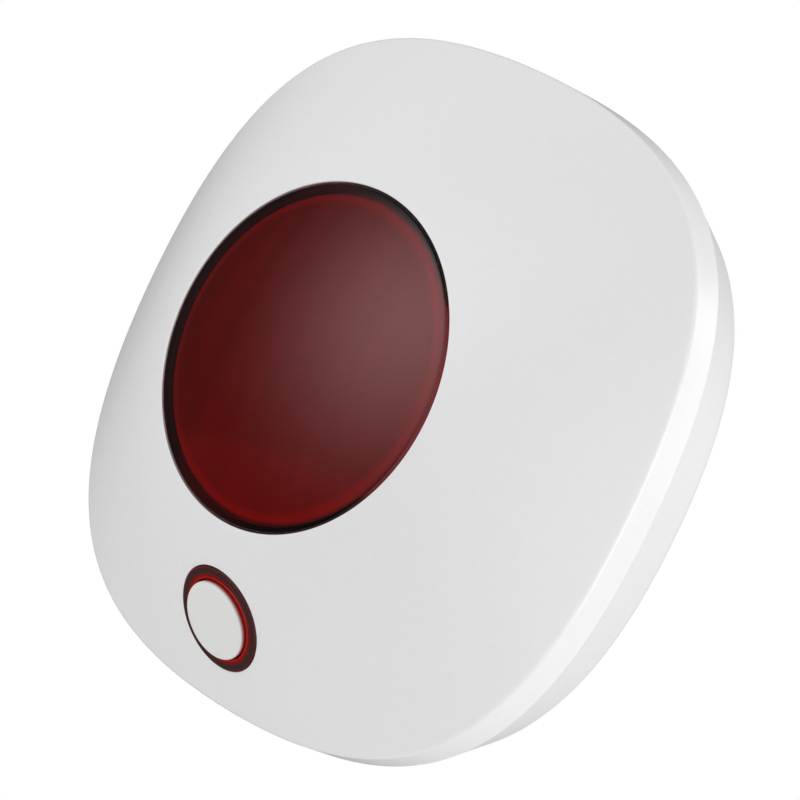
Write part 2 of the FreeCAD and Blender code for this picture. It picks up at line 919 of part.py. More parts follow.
def rear_shell():
    """The tapered rear moulding with its posts, seats, keyholes and outlets."""
    taper = math.atan2(rear_inset, rear_depth)
    back_half = outline_half - rear_inset
    setback = back_edge_radius / math.tan((math.pi / 2.0 + taper) / 2.0)
    foot_rise = setback * math.cos(taper)
    wall_foot = rear_half(foot_rise)
    back_flat = back_half - setback
    top_ring = (outline_half, outline_half * outline_fullness, parting_height)
    foot_ring = (wall_foot, wall_foot * rear_fullness, foot_rise)
    corner_ring = (back_half, back_half * rear_fullness, 0.0)
    flat_ring = (back_flat, back_flat * rear_fullness, 0.0)
    rounding = [flat_ring, corner_ring, foot_ring]
    outlines = []
    for index in range(back_edge_bands + 1):
        place = index / back_edge_bands
        outlines.append(along_rings(rounding, place, place))
    outlines.append(top_ring)
    outside = skin([list(pair) for pair in zip(outlines, outlines[1:])])
    floor_half = rear_inner_half(back_wall)
    mouth = parting_height + cut_past
    mouth_half = rear_inner_half(mouth)
    floor_ring = (floor_half, floor_half * rear_fullness, back_wall)
    mouth_ring = (mouth_half, mouth_half * outline_fullness, mouth)
    tray = outside.cut(skin([[floor_ring, mouth_ring]]))

    lip_half = outline_half - shell_wall - lip_clearance
    lip_inner = lip_half - lip_wall
    lip_low = parting_height - lip_height
    lip_top = parting_height + lip_height
    lip_foot = ring_of(rear_half(lip_low) - rear_wall / 2.0, lip_low)
    lip_step = ring_of(lip_half, parting_height)
    lip = skin([[lip_foot, lip_step], [lip_step, ring_of(lip_half, lip_top)]])
    lip = lip.cut(skin([[ring_of(lip_inner, lip_low), ring_of(lip_inner, lip_top)]]))
    groove_half = outline_half - seam_groove
    beyond = outline_half + cut_past
    groove_low = parting_height - seam_groove
    groove = skin([[ring_of(beyond, groove_low), ring_of(beyond, parting_height)]])
    groove = groove.cut(skin([[ring_of(groove_half, groove_low), ring_of(groove_half, parting_height)]]))

    inside = [lip]
    for x, y in case_places:
        inside.append(rod(case_column_radius, 0.0, case_column_height, x, y))
    for x, y in board_post_places:
        inside.append(rod(post_radius, back_wall / 2.0, board_height, x, y))
    inside += siren_seat()
    inside += battery_ribs()
    inside.append(tamper_guide())
    inside += keyhole_pockets()
    solid = tray.multiFuse(inside)

    cuts = [groove]
    counterbore = case_head_radius + head_clearance
    case_seat = case_column_height - case_floor
    for x, y in case_places:
        cuts.append(rod(counterbore, -cut_past, case_seat, x, y))
        clearance_hole = case_shank_radius + 2.0 * thread_clearance
        cuts.append(rod(clearance_hole, case_seat, case_column_height, x, y))
    for x, y in board_post_places:
        low = board_height - small_screw_length + board_thickness - hole_spare
        cuts.append(rod(small_shank_radius + thread_clearance, low, board_height, x, y))
    cuts += sound_outlets()
    cuts += keyhole_cuts()
    cuts.append(inlet_hole())
    cuts.append(switch_slot())
    bore = tamper_plunger_radius + tamper_plunger_gap
    cuts.append(rod(bore, -cut_past, tamper_guide_height, tamper_x, tamper_y))
    return solid.cut(cuts[0].multiFuse(cuts[1:])).removeSplitter()


def ring_of(half, height):
    """An outline like that of the crease, at another size and height."""
    return half, half * outline_fullness, height


def siren_seat():
    """The collar that centres the sounder, with three hooks that hold it down."""
    inner = siren_radius + siren_seat_gap
    low = back_wall / 2.0
    pieces = [tube(siren_seat_radius, inner, low, back_wall + siren_seat_height, 0.0, siren_y)]
    nose_top = siren_top + siren_seat_gap + hook_nose
    for x, y in ring_places(hook_count, 1.0, hook_turn):
        angle = math.degrees(math.atan2(y, x))
        arm = block(siren_seat_wall, hook_width, low, nose_top, inner + siren_seat_wall / 2.0)
        nose_low = siren_top + siren_seat_gap
        nose = block(hook_nose, hook_width, nose_low, nose_top, inner - hook_nose / 2.0)
        hook = arm.fuse(nose)
        hook.rotate(V(0, 0, 0), V(0, 0, 1), angle)
        hook.translate(V(0, siren_y, 0))
        pieces.append(hook)
    return pieces


def battery_ribs():
    """Four corner ribs that stop the battery from sliding."""
    half_width = battery_width / 2.0 + battery_play
    low_y = battery_bottom - battery_play
    high_y = battery_bottom + battery_length + battery_play
    ribs = []
    low = back_wall / 2.0
    top = back_wall + battery_rib_height
    for side in (-1.0, 1.0):
        for edge, turn in ((low_y, 1.0), (high_y, -1.0)):
            x = side * (half_width + battery_rib / 2.0)
            y = edge + turn * (battery_edge + battery_rib_length / 2.0)
            ribs.append(block(battery_rib, battery_rib_length, low, top, x, y))
            x = side * (half_width - battery_edge - battery_rib_length / 2.0)
            y = edge - turn * battery_rib / 2.0
            ribs.append(block(battery_rib_length, battery_rib, low, top, x, y))
    return ribs


def tamper_guide():
    """The tube that guides the tamper plunger."""
    outer = tamper_plunger_radius + tamper_plunger_gap + tamper_guide_wall
    return rod(outer, back_wall / 2.0, tamper_guide_height, tamper_x, tamper_y)


def keyhole_pockets():
    """Closed pockets behind the keyholes, so that a screw head meets nothing inside."""
    pockets = []
    low = back_wall / 2.0
    top = back_wall + keyhole_pocket + keyhole_pocket_wall
    radius = keyhole_head_radius + head_clearance + keyhole_pocket_wall
    for side in (-1.0, 1.0):
        x = side * keyhole_x
        foot = rod(radius, low, top, x, keyhole_y)
        head = rod(radius, low, top, x, keyhole_y + keyhole_rise)
        between = block(2.0 * radius, keyhole_rise, low, top, x, keyhole_y + keyhole_rise / 2.0)
        pockets.append(foot.multiFuse([head, between]).removeSplitter())
    return pockets


def keyhole_cuts():
    """The keyholes themselves and the hollow of their pockets."""
    cuts = []
    room = keyhole_head_radius + head_clearance
    top = back_wall + keyhole_pocket
    for side in (-1.0, 1.0):
        x = side * keyhole_x
        upper = keyhole_y + keyhole_rise
        middle = keyhole_y + keyhole_rise / 2.0
        entry = rod(keyhole_head_radius, -cut_past, back_wall, x, keyhole_y)
        slot_end = rod(keyhole_slot_radius, -cut_past, back_wall, x, upper)
        slot = block(2.0 * keyhole_slot_radius, keyhole_rise, -cut_past, back_wall, x, middle)
        room_foot = rod(room, back_wall, top, x, keyhole_y)
        room_head = rod(room, back_wall, top, x, upper)
        room_between = block(2.0 * room, keyhole_rise, back_wall, top, x, middle)
        cuts.append(entry.multiFuse([slot_end, slot, room_foot, room_head, room_between]))
    return cuts


def sound_outlets():
    """The slots behind the sounder, the channel that leads down, and the vents below."""
    cuts = []
    rows = int(2.0 * grille_radius / grille_pitch)
    for index in range(rows):
        offset = (index - (rows - 1) / 2.0) * grille_pitch
        length = 2.0 * math.sqrt(grille_radius * grille_radius - offset * offset)
        y = siren_y + offset
        end = grille_slot * grille_end_share
        cuts.append(soft_block(length, grille_slot, -cut_past, back_wall + cut_past, 0.0, y, end))
    channel_top = siren_y + grille_radius + grille_slot
    channel_bottom = -outline_half - cut_past
    length = channel_top - channel_bottom
    middle = (channel_top + channel_bottom) / 2.0
    width = 2.0 * channel_half_width
    cuts.append(soft_block(width, length, -cut_past, channel_depth, 0.0, middle, channel_corner))
    for index in range(vent_count):
        x = (index - (vent_count - 1) / 2.0) * vent_pitch
        deep = 2.0 * (rear_wall + cut_past)
        y = -rear_half(vent_low)
        cuts.append(block(vent_width, deep, vent_low, vent_high, x, y))
    return cuts


def inlet_hole():
    """The round hole for the nose of the power inlet, through the lower wall."""
    hole = Part.makeCylinder(jack_nose_radius + jack_nose_gap, outline_half, V(0, 0, 0), V(0, -1, 0))
    hole.translate(V(jack_x, jack_face, jack_axis))
    return hole


def switch_slot():
    """The slot in the lower wall through which the switch knob shows."""
    width = switch_knob_width + switch_travel + 2.0 * switch_gap
    height = switch_knob_height + 2.0 * switch_gap
    low = switch_middle - height / 2.0
    length = outline_half
    return block(width, length, low, low + height, switch_x, switch_face - length / 2.0)


def case_screws():
    """The four long screws that close the case from the back."""
    seat = case_column_height - case_floor
    screws = []
    for x, y in case_places:
        screws.append(
            screw(
                case_head_radius,
                case_head_height,
                case_shank_radius,
                case_screw_length,
                x,
                y,
                seat,
                True,
            )
        )
    return group(screws)


def main_board():
    """The main circuit board, on four posts of the rear shell."""
    half = board_half_width
    low_y = jack_face
    cut = board_corner
    corners = [
        V(-half, board_top, board_height),
        V(half, board_top, board_height),
        V(half, low_y + cut, board_height),
        V(half - cut, low_y, board_height),
        V(-half + cut, low_y, board_height),
        V(-half, low_y + cut, board_height),
    ]
    board = Part.Face(Part.makePolygon(corners + corners[:1])).extrude(V(0, 0, board_thickness))
    for x, y in board_post_places:
        hole = small_shank_radius + 2.0 * thread_clearance
        board = board.cut(rod(hole, board_height, board_surface, x, y))
    return board


def main_board_screws():
    """The four screws of the main board, driven from the front."""
    return group([small_screw(x, y, board_surface, False) for x, y in board_post_places])


def siren_housing():
    """The sounder's body: a horn mouth towards the wall and a shelf for the disc."""
    bore = siren_radius - siren_wall
    throat = bore - siren_shelf_width
    mouth_top = siren_shelf - siren_throat_height
    housing = turned(
        [
            (siren_radius, siren_low),
            (siren_radius, siren_top),
            (bore, siren_top),
            (bore, siren_shelf),
            (throat, siren_shelf),
            (throat, mouth_top),
            (bore, siren_low),
        ]
    )
    housing.translate(V(0, siren_y, 0))
    return housing


def siren_gasket_ring():
    """The foam ring between the sounder and the back wall."""
    bore = siren_radius - siren_wall
    return tube(siren_radius, bore, back_wall, siren_low, 0.0, siren_y)


def piezo_plate():
    """The thin metal disc that makes the sound, on the shelf of the housing."""
    radius = siren_radius - siren_wall - piezo_gap
    return rod(radius, siren_shelf, siren_shelf + piezo_thickness, 0.0, siren_y)


def piezo_ceramic():
    """The ceramic disc on the metal one."""
    low = siren_shelf + piezo_thickness
    return rod(ceramic_radius, low, low + ceramic_thickness, 0.0, siren_y)


def siren_back_cover():
    """The lid of the sounder, with a notch for its wires."""
    radius = siren_radius - siren_wall - piezo_gap
    lid = rod(radius, siren_top - siren_cover, siren_top, 0.0, siren_y)
    spacer = tube(radius, radius - siren_wall, siren_shelf + piezo_thickness, siren_top, 0.0, siren_y)
    notch = block(cover_notch[0], cover_notch[1], siren_shelf, siren_top, 0.0, siren_y + radius)
    return lid.fuse(spacer).cut(notch).removeSplitter()


def backup_battery():
    """The flat rechargeable pack that keeps the siren alive without mains."""
    y = battery_bottom + battery_length / 2.0
    top = battery_low + battery_thickness
    return soft_block(battery_width, battery_length, battery_low, top, 0.0, y, battery_edge)


def battery_foam():
    """The sticky foam pad under the battery."""
    y = battery_bottom + battery_length / 2.0
    width = battery_width - 2.0 * battery_edge
    length = battery_length - 2.0 * battery_edge
    return block(width, length, back_wall, battery_low, 0.0, y)


def dc_jack():
    """The power inlet under the lower edge of the board."""
    y = jack_face + jack_length / 2.0
    body = block(jack_width, jack_length, jack_low, board_height, jack_x, y)
    nose_length = jack_face - jack_nose_face
    nose = Part.makeCylinder(jack_nose_radius, nose_length, V(0, 0, 0), V(0, -1, 0))
    nose.translate(V(jack_x, jack_face, jack_axis))
    bore = Part.makeCylinder(jack_bore_radius, jack_bore_depth, V(0, 0, 0), V(0, 1, 0))
    bore.translate(V(jack_x, jack_nose_face, jack_axis))
    return body.fuse(nose).cut(bore).removeSplitter()


def dc_jack_pin():
    """The centre contact of the power inlet."""
    length = jack_bore_depth - jack_pin_setback
    pin = Part.makeCylinder(jack_pin_radius, length, V(0, 0, 0), V(0, 1, 0))
    pin.translate(V(jack_x, jack_nose_face + jack_pin_setback, jack_axis))
    return pin


def power_switch():
    """The slide switch under the lower edge of the board."""
    y = switch_face + switch_depth / 2.0
    body = block(switch_width, switch_depth, switch_low, board_height, switch_x, y)
    width = switch_knob_width + switch_travel + 2.0 * switch_gap
    height = switch_knob_height + 2.0 * switch_gap
    low = switch_middle - height / 2.0
    depth = switch_knob_depth + switch_gap
    well = block(width, depth, low, low + height, switch_x, switch_face + depth / 2.0)
    return body.cut(well)


def power_switch_knob():
    """The knob of the slide switch, resting at its left end."""
    knob_side = switch_travel / 2.0 - switch_x
    face = -(outline_reach(rear_half(switch_middle), knob_side) + switch_knob_proud)
    back = switch_face + switch_knob_depth
    x = switch_x - switch_travel / 2.0
    low = switch_middle - switch_knob_height / 2.0
    high = low + switch_knob_height
    return block(switch_knob_width, back - face, low, high, x, (back + face) / 2.0)


def tamper_switch():
    """The switch that senses when the siren is taken off the wall."""
    low = board_height - tamper_switch_height
    body = block(tamper_size, tamper_size, low, board_height, tamper_x, tamper_y)
    well = tamper_plunger_radius + tamper_plunger_gap
    depth = tamper_plunger_depth + tamper_travel + tact_floor_gap
    return body.cut(rod(well, low, low + depth, tamper_x, tamper_y))


def tamper_plunger():
    """The long plunger that the wall presses, standing out of the back at rest."""
    low = board_height - tamper_switch_height
    stem = rod(tamper_plunger_radius, -tamper_travel, low + tamper_plunger_depth, tamper_x, tamper_y)
    collar_radius = tamper_plunger_radius + tamper_collar_width
    collar_low = tamper_collar_top - tamper_collar_thickness
    collar = rod(collar_radius, collar_low, tamper_collar_top, tamper_x, tamper_y)
    return stem.fuse(collar).removeSplitter()


def control_chip():
    """The controller, a flat body with two rows of legs."""
    x, y = chip_x, board_top - chip_drop
    width, breadth, height = chip_body
    low = board_surface
    body = block(width, breadth, low + chip_lift, low + chip_lift + height, x, y)
    legs = []
    for index in range(chip_leg_count):
        leg_y = y + (index - (chip_leg_count - 1) / 2.0) * chip_leg_pitch
        legs.append(block(chip_leg_span, chip_leg_width, low, low + chip_leg_thickness, x, leg_y))
    return body.multiFuse(legs).removeSplitter()


def radio_module():
    """The small upright radio board with its screening can."""
    x, y = radio_x, board_top - radio_drop
    low = board_surface
    card = block(radio_card[0], radio_card[1], low, low + radio_card[2], x, y)
    can_low = low + radio_can_lift
    can_x = x + (radio_card[0] + radio_can[0]) / 2.0
    can = block(radio_can[0], radio_can[1], can_low, can_low + radio_can[2], can_x, y)
    return card.fuse(can).removeSplitter()


def antenna():
    """The wire aerial beside the radio board: two legs and a long level stretch."""
    low = board_surface
    top = low + antenna_height
    span = antenna_high_y - antenna_low_y
    level = Part.makeCylinder(antenna_radius, span, V(antenna_x, antenna_low_y, top), V(0, 1, 0))
    legs = [rod(antenna_radius, low, top, antenna_x, y) for y in (antenna_low_y, antenna_high_y)]
    knees = [Part.makeSphere(antenna_radius, V(antenna_x, y, top)) for y in (antenna_low_y, antenna_high_y)]
    return level.multiFuse(legs + knees).removeSplitter()


def drive_coil():
    """The transformer that steps the drive up for the sounder."""
    x, y = coil_x, board_top - coil_drop
    foot_top = board_surface + coil_foot_height
    foot = block(coil_foot, coil_foot, board_surface, foot_top, x, y)
    lower_flange = foot_top + coil_flange_height
    waist_low = lower_flange + coil_slope_height
    waist_high = waist_low + coil_waist_height
    upper_flange = waist_high + coil_slope_height
    core = turned(
        [
            (0.0, foot_top),
            (coil_flange_radius, foot_top),
            (coil_flange_radius, lower_flange),
            (coil_waist_radius, waist_low),
            (coil_waist_radius, waist_high),
            (coil_flange_radius, upper_flange),
            (coil_flange_radius, upper_flange + coil_flange_height),
            (0.0, upper_flange + coil_flange_height),
        ]
    )
    core.translate(V(x, y, 0))
    return foot.fuse(core).removeSplitter()


def capacitors():
    """Two upright capacitors that feed the flash and the sounder."""
    low = board_surface
    cans = []
    y = board_top - can_drop
    for coil_gap, radius, height in can_sizes:
        x = coil_x - coil_gap
        shoulder = low + height - can_chamfer
        can = rod(radius, low, shoulder, x, y)
        lid = Part.makeCone(radius, radius - can_chamfer, can_chamfer, V(x, y, shoulder))
        cans.append(can.fuse(lid).removeSplitter())
    return group(cans)


def wire_headers():
    """Plug sockets for the battery, the sounder, the strobe and the button board."""
    low = board_surface
    width, breadth, height = header_body
    room = 2.0 * header_wall
    sockets = []
    for x, y in header_places:
        body = block(width, breadth, low, low + height, x, y)
        well = block(width - room, breadth - room, low + header_floor, low + height, x, y)
        sockets.append(body.cut(well))
    return group(sockets)


def lead(points, across):
    """Two wires side by side along the points, fused to the plug in which they end."""
    side = across * (lead_pitch / 2.0)
    solids = []
    for offset in (side, side * -1.0):
        path = [V(*point) + offset for point in points]
        for index, (start, end) in enumerate(zip(path, path[1:])):
            along = (end - start).normalize()
            begin = start - along * lead_radius if index else start
            length = begin.distanceToPoint(end) + lead_radius
            solids.append(Part.makeCylinder(lead_radius, length, begin, along))
    x, y, low = points[-1]
    room = 2.0 * (header_wall + plug_play)
    width, breadth = header_body[0] - room, header_body[1] - room
    solids.append(block(width, breadth, low - lead_radius, low - lead_radius + plug_height, x, y))
    return solids[0].multiFuse(solids[1:]).removeSplitter()


def battery_lead():
    """The battery's lead, round the upper edge of the board."""
    x = battery_header_x
    edge = battery_bottom + battery_length + lead_gap
    beyond = board_top + lead_clearance + lead_radius
    low = back_wall + battery_rib_height + lead_clearance + lead_radius
    points = [(x, edge, low), (x, beyond, low), (x, beyond, lead_height)]
    points += [(x, header_top_y, lead_height), (x, header_top_y, lead_end + lead_radius)]
    return lead(points, V(1, 0, 0))


def siren_lead():
    """The sounder's lead, from the notch of its lid round the side of the board."""
    y = siren_notch_y
    start = siren_shelf + piezo_thickness + lead_gap
    under = board_height - lead_gap - lead_radius
    beyond = board_half_width + lead_clearance + lead_radius
    points = [(0.0, y, start), (0.0, y, under), (beyond, y, under), (beyond, y, lead_height)]
    points += [(header_side_x, y, lead_height), (header_side_x, y, lead_end + lead_radius)]
    return lead(points, V(0, 1, 0))


def strobe_lead():
    """The lead of the flash lights, down from their board."""
    x = strobe_header_x
    y = strobe_board_radius - strobe_lead_inset
    points = [(x, y, strobe_board_low - lead_gap), (x, y, lead_height)]
    points += [(x, strobe_header_y, lead_height), (x, strobe_header_y, lead_end + lead_radius)]
    return lead(points, V(1, 0, 0))


def button_lead():
    """The lead of the button's board, straight up over the main board."""
    x = button_header_x
    slope = math.radians(button_slope)
    face_y = button_lead_offset * math.cos(slope) - button_board_low * math.sin(slope)
    face_z = button_lead_offset * math.sin(slope) + button_board_low * math.cos(slope)
    start = face_y - button_distance + lead_gap + lead_radius / math.tan(slope)
    level = button_height + face_z
    points = [(x, start, level), (x, header_top_y, level), (x, header_top_y, lead_end + lead_radius)]
    return lead(points, V(1, 0, 0))


NODES = {
    "front_shell": front_shell,
    "rear_shell": rear_shell,
    "strobe_lens": strobe_lens,
    "strobe_diffuser": strobe_diffuser,
    "strobe_reflector": strobe_reflector,
    "reflector_screws": reflector_screws,
    "strobe_board": strobe_board,
    "strobe_board_screws": strobe_board_screws,
    "strobe_leds": strobe_leds,
    "light_ring": light_ring,
    "button_cap": button_cap,
    "tact_switch": tact_switch,
    "tact_plunger": tact_plunger,
    "button_board": button_board,
    "button_board_screws": button_board_screws,
    "status_leds": status_leds,
    "case_screws": case_screws,
    "main_board": main_board,
    "main_board_screws": main_board_screws,
    "control_chip": control_chip,
    "radio_module": radio_module,
    "antenna": antenna,
    "drive_coil": drive_coil,
    "capacitors": capacitors,
    "wire_headers": wire_headers,
    "battery_lead": battery_lead,
    "siren_lead": siren_lead,
    "strobe_lead": strobe_lead,
    "button_lead": button_lead,
    "siren_housing": siren_housing,
    "siren_gasket": siren_gasket_ring,
    "siren_back_cover": siren_back_cover,
    "piezo_plate": piezo_plate,
    "piezo_ceramic": piezo_ceramic,
    "backup_battery": backup_battery,
    "battery_foam": battery_foam,
    "dc_jack": dc_jack,
    "dc_jack_pin": dc_jack_pin,
    "power_switch": power_switch,
    "power_switch_knob": power_switch_knob,
    "tamper_switch": tamper_switch,
    "tamper_plunger": tamper_plunger,
}

os.makedirs("parts", exist_ok=True)
for name, build in NODES.items():
    piece = build()
    piece.rotate(V(0, 0, 0), V(1, 0, 0), 90)
    piece.exportStep("parts/" + name + ".step")
    print(name, len(piece.Solids), round(piece.Volume, 1), piece.isValid())
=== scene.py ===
# %% [markdown]
# A strobe siren hangs on a wall: a domed white case, a large red lens, and a push button in a
# red light ring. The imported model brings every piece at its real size. This lesson remodels the
# pieces whose soft edges and clear plastic carry the look, and gives every piece its finish.

# %% Load the fixed frame
import json
import math
import bpy
import bmesh
from mathutils import Matrix, Vector
from mathutils.bvhtree import BVHTree
from mathutils.interpolate import poly_3d_calc

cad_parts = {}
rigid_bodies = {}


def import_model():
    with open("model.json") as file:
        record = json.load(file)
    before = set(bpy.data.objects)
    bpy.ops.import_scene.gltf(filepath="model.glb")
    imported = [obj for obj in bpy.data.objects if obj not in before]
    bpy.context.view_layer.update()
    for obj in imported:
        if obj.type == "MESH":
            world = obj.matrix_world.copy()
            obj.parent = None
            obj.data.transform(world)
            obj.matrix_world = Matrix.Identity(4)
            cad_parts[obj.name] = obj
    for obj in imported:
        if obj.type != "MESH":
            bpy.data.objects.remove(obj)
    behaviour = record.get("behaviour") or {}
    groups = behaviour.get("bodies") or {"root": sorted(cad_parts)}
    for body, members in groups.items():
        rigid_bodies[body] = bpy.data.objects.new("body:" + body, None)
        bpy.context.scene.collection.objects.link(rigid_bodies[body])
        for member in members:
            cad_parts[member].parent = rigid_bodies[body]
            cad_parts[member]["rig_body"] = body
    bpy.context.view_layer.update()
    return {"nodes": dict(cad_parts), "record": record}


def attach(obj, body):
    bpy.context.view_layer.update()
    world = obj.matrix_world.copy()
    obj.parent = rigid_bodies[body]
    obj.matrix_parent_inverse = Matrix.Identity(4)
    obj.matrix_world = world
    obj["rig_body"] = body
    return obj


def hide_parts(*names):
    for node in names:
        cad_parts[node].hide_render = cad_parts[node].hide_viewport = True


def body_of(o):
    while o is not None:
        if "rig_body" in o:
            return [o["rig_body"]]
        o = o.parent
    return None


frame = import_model()
nodes = frame["nodes"]

# %% [markdown]
# The camera comes first, because everything else is judged through it. It was found by matching
# the outlines of the case, the lens and the button ring with the photograph. It is a long lens,
# rolled to one side. Its place and its two directions are written as plain vectors, and the
# third direction follows from the other two.

# %% Camera
SENSOR_WIDTH = 36.0
PICTURE_WIDTH = 800.0
FOCAL_PIXELS = 4864.4
NEAREST_SEEN = 0.01
scene = bpy.context.scene
camera_right = Vector((0.66636, 0.606, 0.43443))
camera_up = Vector((-0.34946, -0.26086, 0.89991))
camera_back = camera_right.cross(camera_up).normalized()
camera_place = Vector((0.5433, -0.63495, 0.0311))
camera_data = bpy.data.cameras.new("camera")
camera_data.sensor_width = SENSOR_WIDTH
camera_data.lens = FOCAL_PIXELS / PICTURE_WIDTH * SENSOR_WIDTH
camera_data.clip_start = NEAREST_SEEN
camera = bpy.data.objects.new("camera", camera_data)
turn = Matrix((camera_right, camera_up, camera_back)).transposed()
camera.matrix_world = Matrix.Translation(camera_place) @ turn.to_4x4()
scene.collection.objects.link(camera)
scene.camera = camera
scene.view_settings.view_transform = "Standard"
print("lens", round(camera_data.lens, 1))

# %% [markdown]
# The studio is a white sky plus a few soft lamps. Rays from the camera see plain white, so the
# backdrop stays clean. Rays that light the plastic see a sky that is brighter from the upper
# left and from the front, which models the dome. Rays that mirror in the gloss see a dim sky
# with a round glow in front, a power of the cosine to its middle, and a bright right side. The
# glow is the broad highlight of the red lens, and the bright side is the shine of the side
# wall. One sky with three answers is quicker to tune than many lamps, and it never makes hard
# spots.

# %% World
SOFT_SLOPE, SOFT_MIDDLE = (-0.36, -0.27, 0.42), 0.603
GLOW_DIRECTION = (-0.20, -0.93, 0.30)
GLOW_POWER, GLOW_STRENGTH = 7.5, 1.95
RIGHT_DIRECTION = (1.0, 0.0, 0.0)
RIGHT_FROM, RIGHT_TO = (0.15, 0.9), (0.06, 1.15)
world = bpy.data.worlds.new("studio")
scene.world = world
world.use_nodes = True
sky = world.node_tree
sky.nodes.clear()


def sky_node(kind, inputs, **settings):
    """A node of the sky. Each input is a number, a vector or the output of another node."""
    node = sky.nodes.new(kind)
    for setting, value in settings.items():
        setattr(node, setting, value)
    for socket, value in inputs.items():
        if isinstance(value, bpy.types.NodeSocket):
            sky.links.new(value, node.inputs[socket])
        else:
            node.inputs[socket].default_value = value
    return node.outputs


def sky_slope(direction, middle):
    """A brightness that changes evenly across the sky: middle plus direction times the view."""
    dot = sky_node("ShaderNodeVectorMath", {0: view, 1: direction}, operation="DOT_PRODUCT")
    return sky_node("ShaderNodeMath", {0: dot["Value"], 1: middle}, operation="ADD")[0]


def sky_mix(chooser, first, second):
    """The first brightness where the chooser is 0 and the second where it is 1."""
    inputs = {"Factor": chooser, "A": first, "B": second}
    return sky_node("ShaderNodeMix", inputs)["Result"]


view = sky_node("ShaderNodeTexCoord", {})["Generated"]
ray = sky_node("ShaderNodeLightPath", {})
soft_light = sky_slope(SOFT_SLOPE, SOFT_MIDDLE)
front_glow = sky_node(
    "ShaderNodeMath", {0: sky_slope(GLOW_DIRECTION, 0.0), 1: GLOW_POWER},
    operation="POWER", use_clamp=True,
)[0]
right_glow = sky_node(
    "ShaderNodeMapRange",
    {"Value": sky_slope(RIGHT_DIRECTION, 0.0), "From Min": RIGHT_FROM[0],
     "From Max": RIGHT_FROM[1], "To Min": RIGHT_TO[0], "To Max": RIGHT_TO[1]},
    interpolation_type="SMOOTHSTEP",
)["Result"]
mirrored = sky_node(
    "ShaderNodeMath", {0: front_glow, 1: GLOW_STRENGTH, 2: right_glow}, operation="MULTIPLY_ADD"
)[0]
lit = sky_mix(ray["Is Glossy Ray"], soft_light, mirrored)
seen = sky_mix(ray["Is Camera Ray"], lit, 1.0)
backdrop = sky_node("ShaderNodeBackground", {"Color": (1.0, 1.0, 1.0, 1.0), "Strength": seen})
sky_node("ShaderNodeOutputWorld", {"Surface": backdrop[0]})
print("sky nodes", len(sky.nodes))

# %% [markdown]
# Area lamps add what the sky lacks. Three large ones stand behind the siren: one far to the
# right, one high up and one straight back. They light the side walls, which are the brightest
# part of the photograph, and leave the dome alone. A narrow strip at the right gives the
# crease its thin bright line. Each lamp is placed by a vector from the object and turned to
# face it, so that moving it changes one line. A line holds the place, the two sides in metres
# and the watts.

# %% Lamps
LAMPS = {
    "right_rim": ((0.85, 0.30, 0.02), (0.6, 0.6), 3.2),
    "high_rim": ((0.50, 0.50, 0.60), (0.5, 0.5), 0.5),
    "back_rim": ((0.38, 0.80, 0.30), (0.6, 0.6), 1.6),
    "crease_strip": ((0.90, -0.04, 0.03), (0.08, 0.5), 0.2),
}
for lamp_name, (place, sides, watts) in LAMPS.items():
    lamp_data = bpy.data.lights.new(lamp_name, "AREA")
    lamp_data.shape = "RECTANGLE"
    lamp_data.size, lamp_data.size_y = sides
    lamp_data.energy = watts
    lamp = bpy.data.objects.new(lamp_name, lamp_data)
    lamp.location = place
    lamp.rotation_euler = Vector(place).to_track_quat("Z", "Y").to_euler()
    lamp.visible_camera = False
    scene.collection.objects.link(lamp)
print("lamps", len(LAMPS))

# %% [markdown]
# The floor is a large pale disc well below the siren, which is where the shadow falls. It ends
# before the camera's view reaches it, so that the backdrop of the photograph stays white, and
# rays that mirror in the gloss pass it by.

# %% Floor
FLOOR_RADIUS = 0.7
FLOOR_HEIGHT = -0.27
floor_mesh = bpy.data.meshes.new("floor")
floor_build = bmesh.new()
bmesh.ops.create_circle(floor_build, cap_ends=True, segments=128, radius=FLOOR_RADIUS)
floor_build.to_mesh(floor_mesh)
floor_build.free()
floor = bpy.data.objects.new("floor", floor_mesh)
floor.location.z = FLOOR_HEIGHT
scene.collection.objects.link(floor)
floor.visible_glossy = False
print("floor at", FLOOR_HEIGHT)

# %% [markdown]
# Every finish starts from one recipe. Noise in the object's own coordinates mixes two close
# tones, moves the roughness a little, and lifts the surface by a few thousandths of a
# millimetre. Moulded plastic, solder mask and plated steel differ only in the numbers. Object
# coordinates keep the grain at its real size on every piece. A line of the table holds the two
# tones, the two roughnesses, the grain per metre, the lift in metres and what else is needed.

# %% Finish recipe
NOISE_DETAIL = 3.0
BUMP_STRENGTH = 0.35


